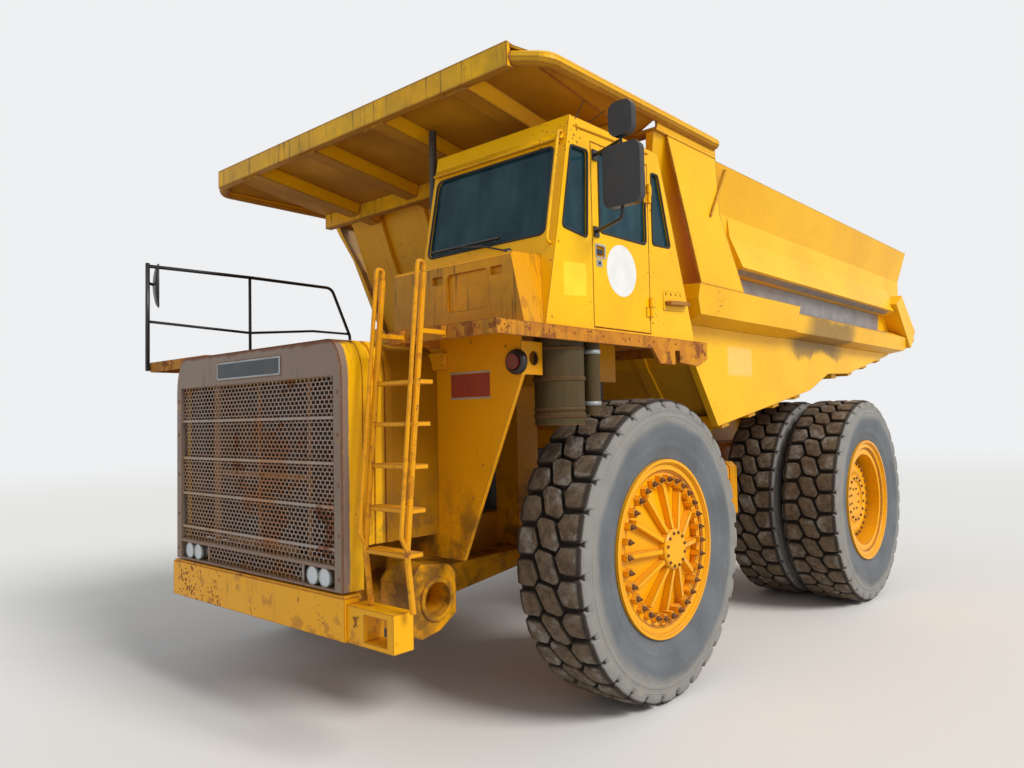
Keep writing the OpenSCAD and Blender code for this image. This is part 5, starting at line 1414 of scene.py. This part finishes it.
def blend_shaders(tree, factor, first, second, output):
    """Mixes two shaders into a tree's output."""
    blend = tree.nodes.new("ShaderNodeMixShader")
    for socket, value in zip(blend.inputs, (factor, first.outputs[0], second.outputs[0])):
        tree.links.new(value, socket)
    tree.links.new(blend.outputs[0], output.inputs[0])


def make_floor():
    """Pale floor that fades into the background far from the truck."""
    shape = Shape()
    add_turned(shape, (0, 0, -FLOOR_DROP), UP, [(0, FLOOR_REACH), (0.0098, FLOOR_REACH)], 64, smooth=False)
    mesh = bpy.data.meshes.new("stage_floor")
    mesh.from_pydata([tuple(p) for p in shape.points], [], shape.faces)
    floor = bpy.data.objects.new("stage_floor", mesh)
    bpy.context.scene.collection.objects.link(floor)
    material, tree, shader, place = new_material("stage_floor")
    shader.inputs["Base Color"].default_value = FLOOR_TONE
    shader.inputs["Roughness"].default_value = 0.9
    far = add_node(tree, "ShaderNodeVectorMath", {"operation": "LENGTH"}, Vector=place).outputs["Value"]
    glow = add_node(tree, "ShaderNodeEmission", Color=BACKGROUND)
    output = next(n for n in tree.nodes if n.type == "OUTPUT_MATERIAL")
    blend_shaders(tree, ramped(tree, far, FADE_FROM, FADE_TO), shader, glow, output)
    mesh.materials.append(material)


def make_world(strength):
    """Even fill light, with a pale background for the camera, glass and metal."""
    world = bpy.data.worlds.new("plain_studio")
    world.use_nodes = True
    tree = world.node_tree
    tree.nodes.clear()
    ray = tree.nodes.new("ShaderNodeLightPath").outputs
    seen = maths(tree, "MAXIMUM", ray["Is Camera Ray"],
                 maths(tree, "MAXIMUM", ray["Is Glossy Ray"], ray["Is Transmission Ray"]))
    light = add_node(tree, "ShaderNodeBackground", Color=SKY_TONE, Strength=strength)
    back = add_node(tree, "ShaderNodeBackground", Color=BACKGROUND, Strength=1.0)
    blend_shaders(tree, seen, light, back, tree.nodes.new("ShaderNodeOutputWorld"))
    bpy.context.scene.world = world


def make_camera(view):
    """Camera at the photograph's place, turned by yaw, pitch and roll."""
    data = bpy.data.cameras.new("camera")
    data.sensor_fit = "HORIZONTAL"
    data.sensor_width = SENSOR_WIDTH
    data.lens = view.lens
    data.clip_end = SEES_TO
    camera = bpy.data.objects.new("camera", data)
    turn = Matrix.Rotation(view.yaw, 4, "Z") @ Matrix.Rotation(pi / 2 + view.pitch, 4, "X")
    camera.matrix_world = Matrix.Translation(view.place) @ turn @ Matrix.Rotation(view.roll, 4, "Z")
    bpy.context.scene.collection.objects.link(camera)
    bpy.context.scene.camera = camera


def make_key_light(strength):
    """Soft sun from the camera's right."""
    key = bpy.data.lights.new("key", "SUN")
    key.energy, key.angle, key.color = strength, SUN_SPREAD, SUN_TONE
    lamp = bpy.data.objects.new("key", key)
    lamp.rotation_euler = SUN_TOWARDS.to_track_quat("-Z", "Y").to_euler()
    bpy.context.scene.collection.objects.link(lamp)


class TRUCK_OT_stage(bpy.types.Operator):
    """Set up the camera, the light and the floor"""

    bl_idname = "truck.stage"
    bl_label = "Stage"

    def execute(self, context):
        view = context.scene.truck_view
        context.scene.view_settings.view_transform = "Standard"
        make_camera(view)
        make_world(view.sky)
        make_floor()
        make_key_light(view.sun)
        return {"FINISHED"}


# Add-on


OPERATORS = [TRUCK_OT_stage, TRUCK_OT_finishes, TRUCK_OT_tyres, TRUCK_OT_grille, TRUCK_OT_nose, TRUCK_OT_nuts,
             TRUCK_OT_windows, TRUCK_OT_cab_trim, TRUCK_OT_seat, TRUCK_OT_decks, TRUCK_OT_rail]


class TRUCK_PT_panel(bpy.types.Panel):
    """Sizes, colours and pieces of the truck"""

    bl_label = "Haul truck"
    bl_idname = "TRUCK_PT_panel"
    bl_space_type = "VIEW_3D"
    bl_region_type = "UI"
    bl_category = "Haul truck"

    def draw(self, context):
        for name, group in SETTINGS:
            box = self.layout.box()
            for key in group.__annotations__:
                box.prop(getattr(context.scene, name), key)
        for operator in OPERATORS:
            self.layout.operator(operator.bl_idname)


def register():
    for name, group in SETTINGS:
        bpy.utils.register_class(group)
        setattr(bpy.types.Scene, name, PointerProperty(type=group))
    for kind in [*OPERATORS, TRUCK_PT_panel]:
        bpy.utils.register_class(kind)


def unregister():
    for kind in reversed([*OPERATORS, TRUCK_PT_panel]):
        bpy.utils.unregister_class(kind)
    for name, group in reversed(SETTINGS):
        delattr(bpy.types.Scene, name)
        bpy.utils.unregister_class(group)


def main():
    register()
    for operator in OPERATORS:
        group, name = operator.bl_idname.split(".")
        getattr(getattr(bpy.ops, group), name)()


if __name__ == "__main__":
    main()
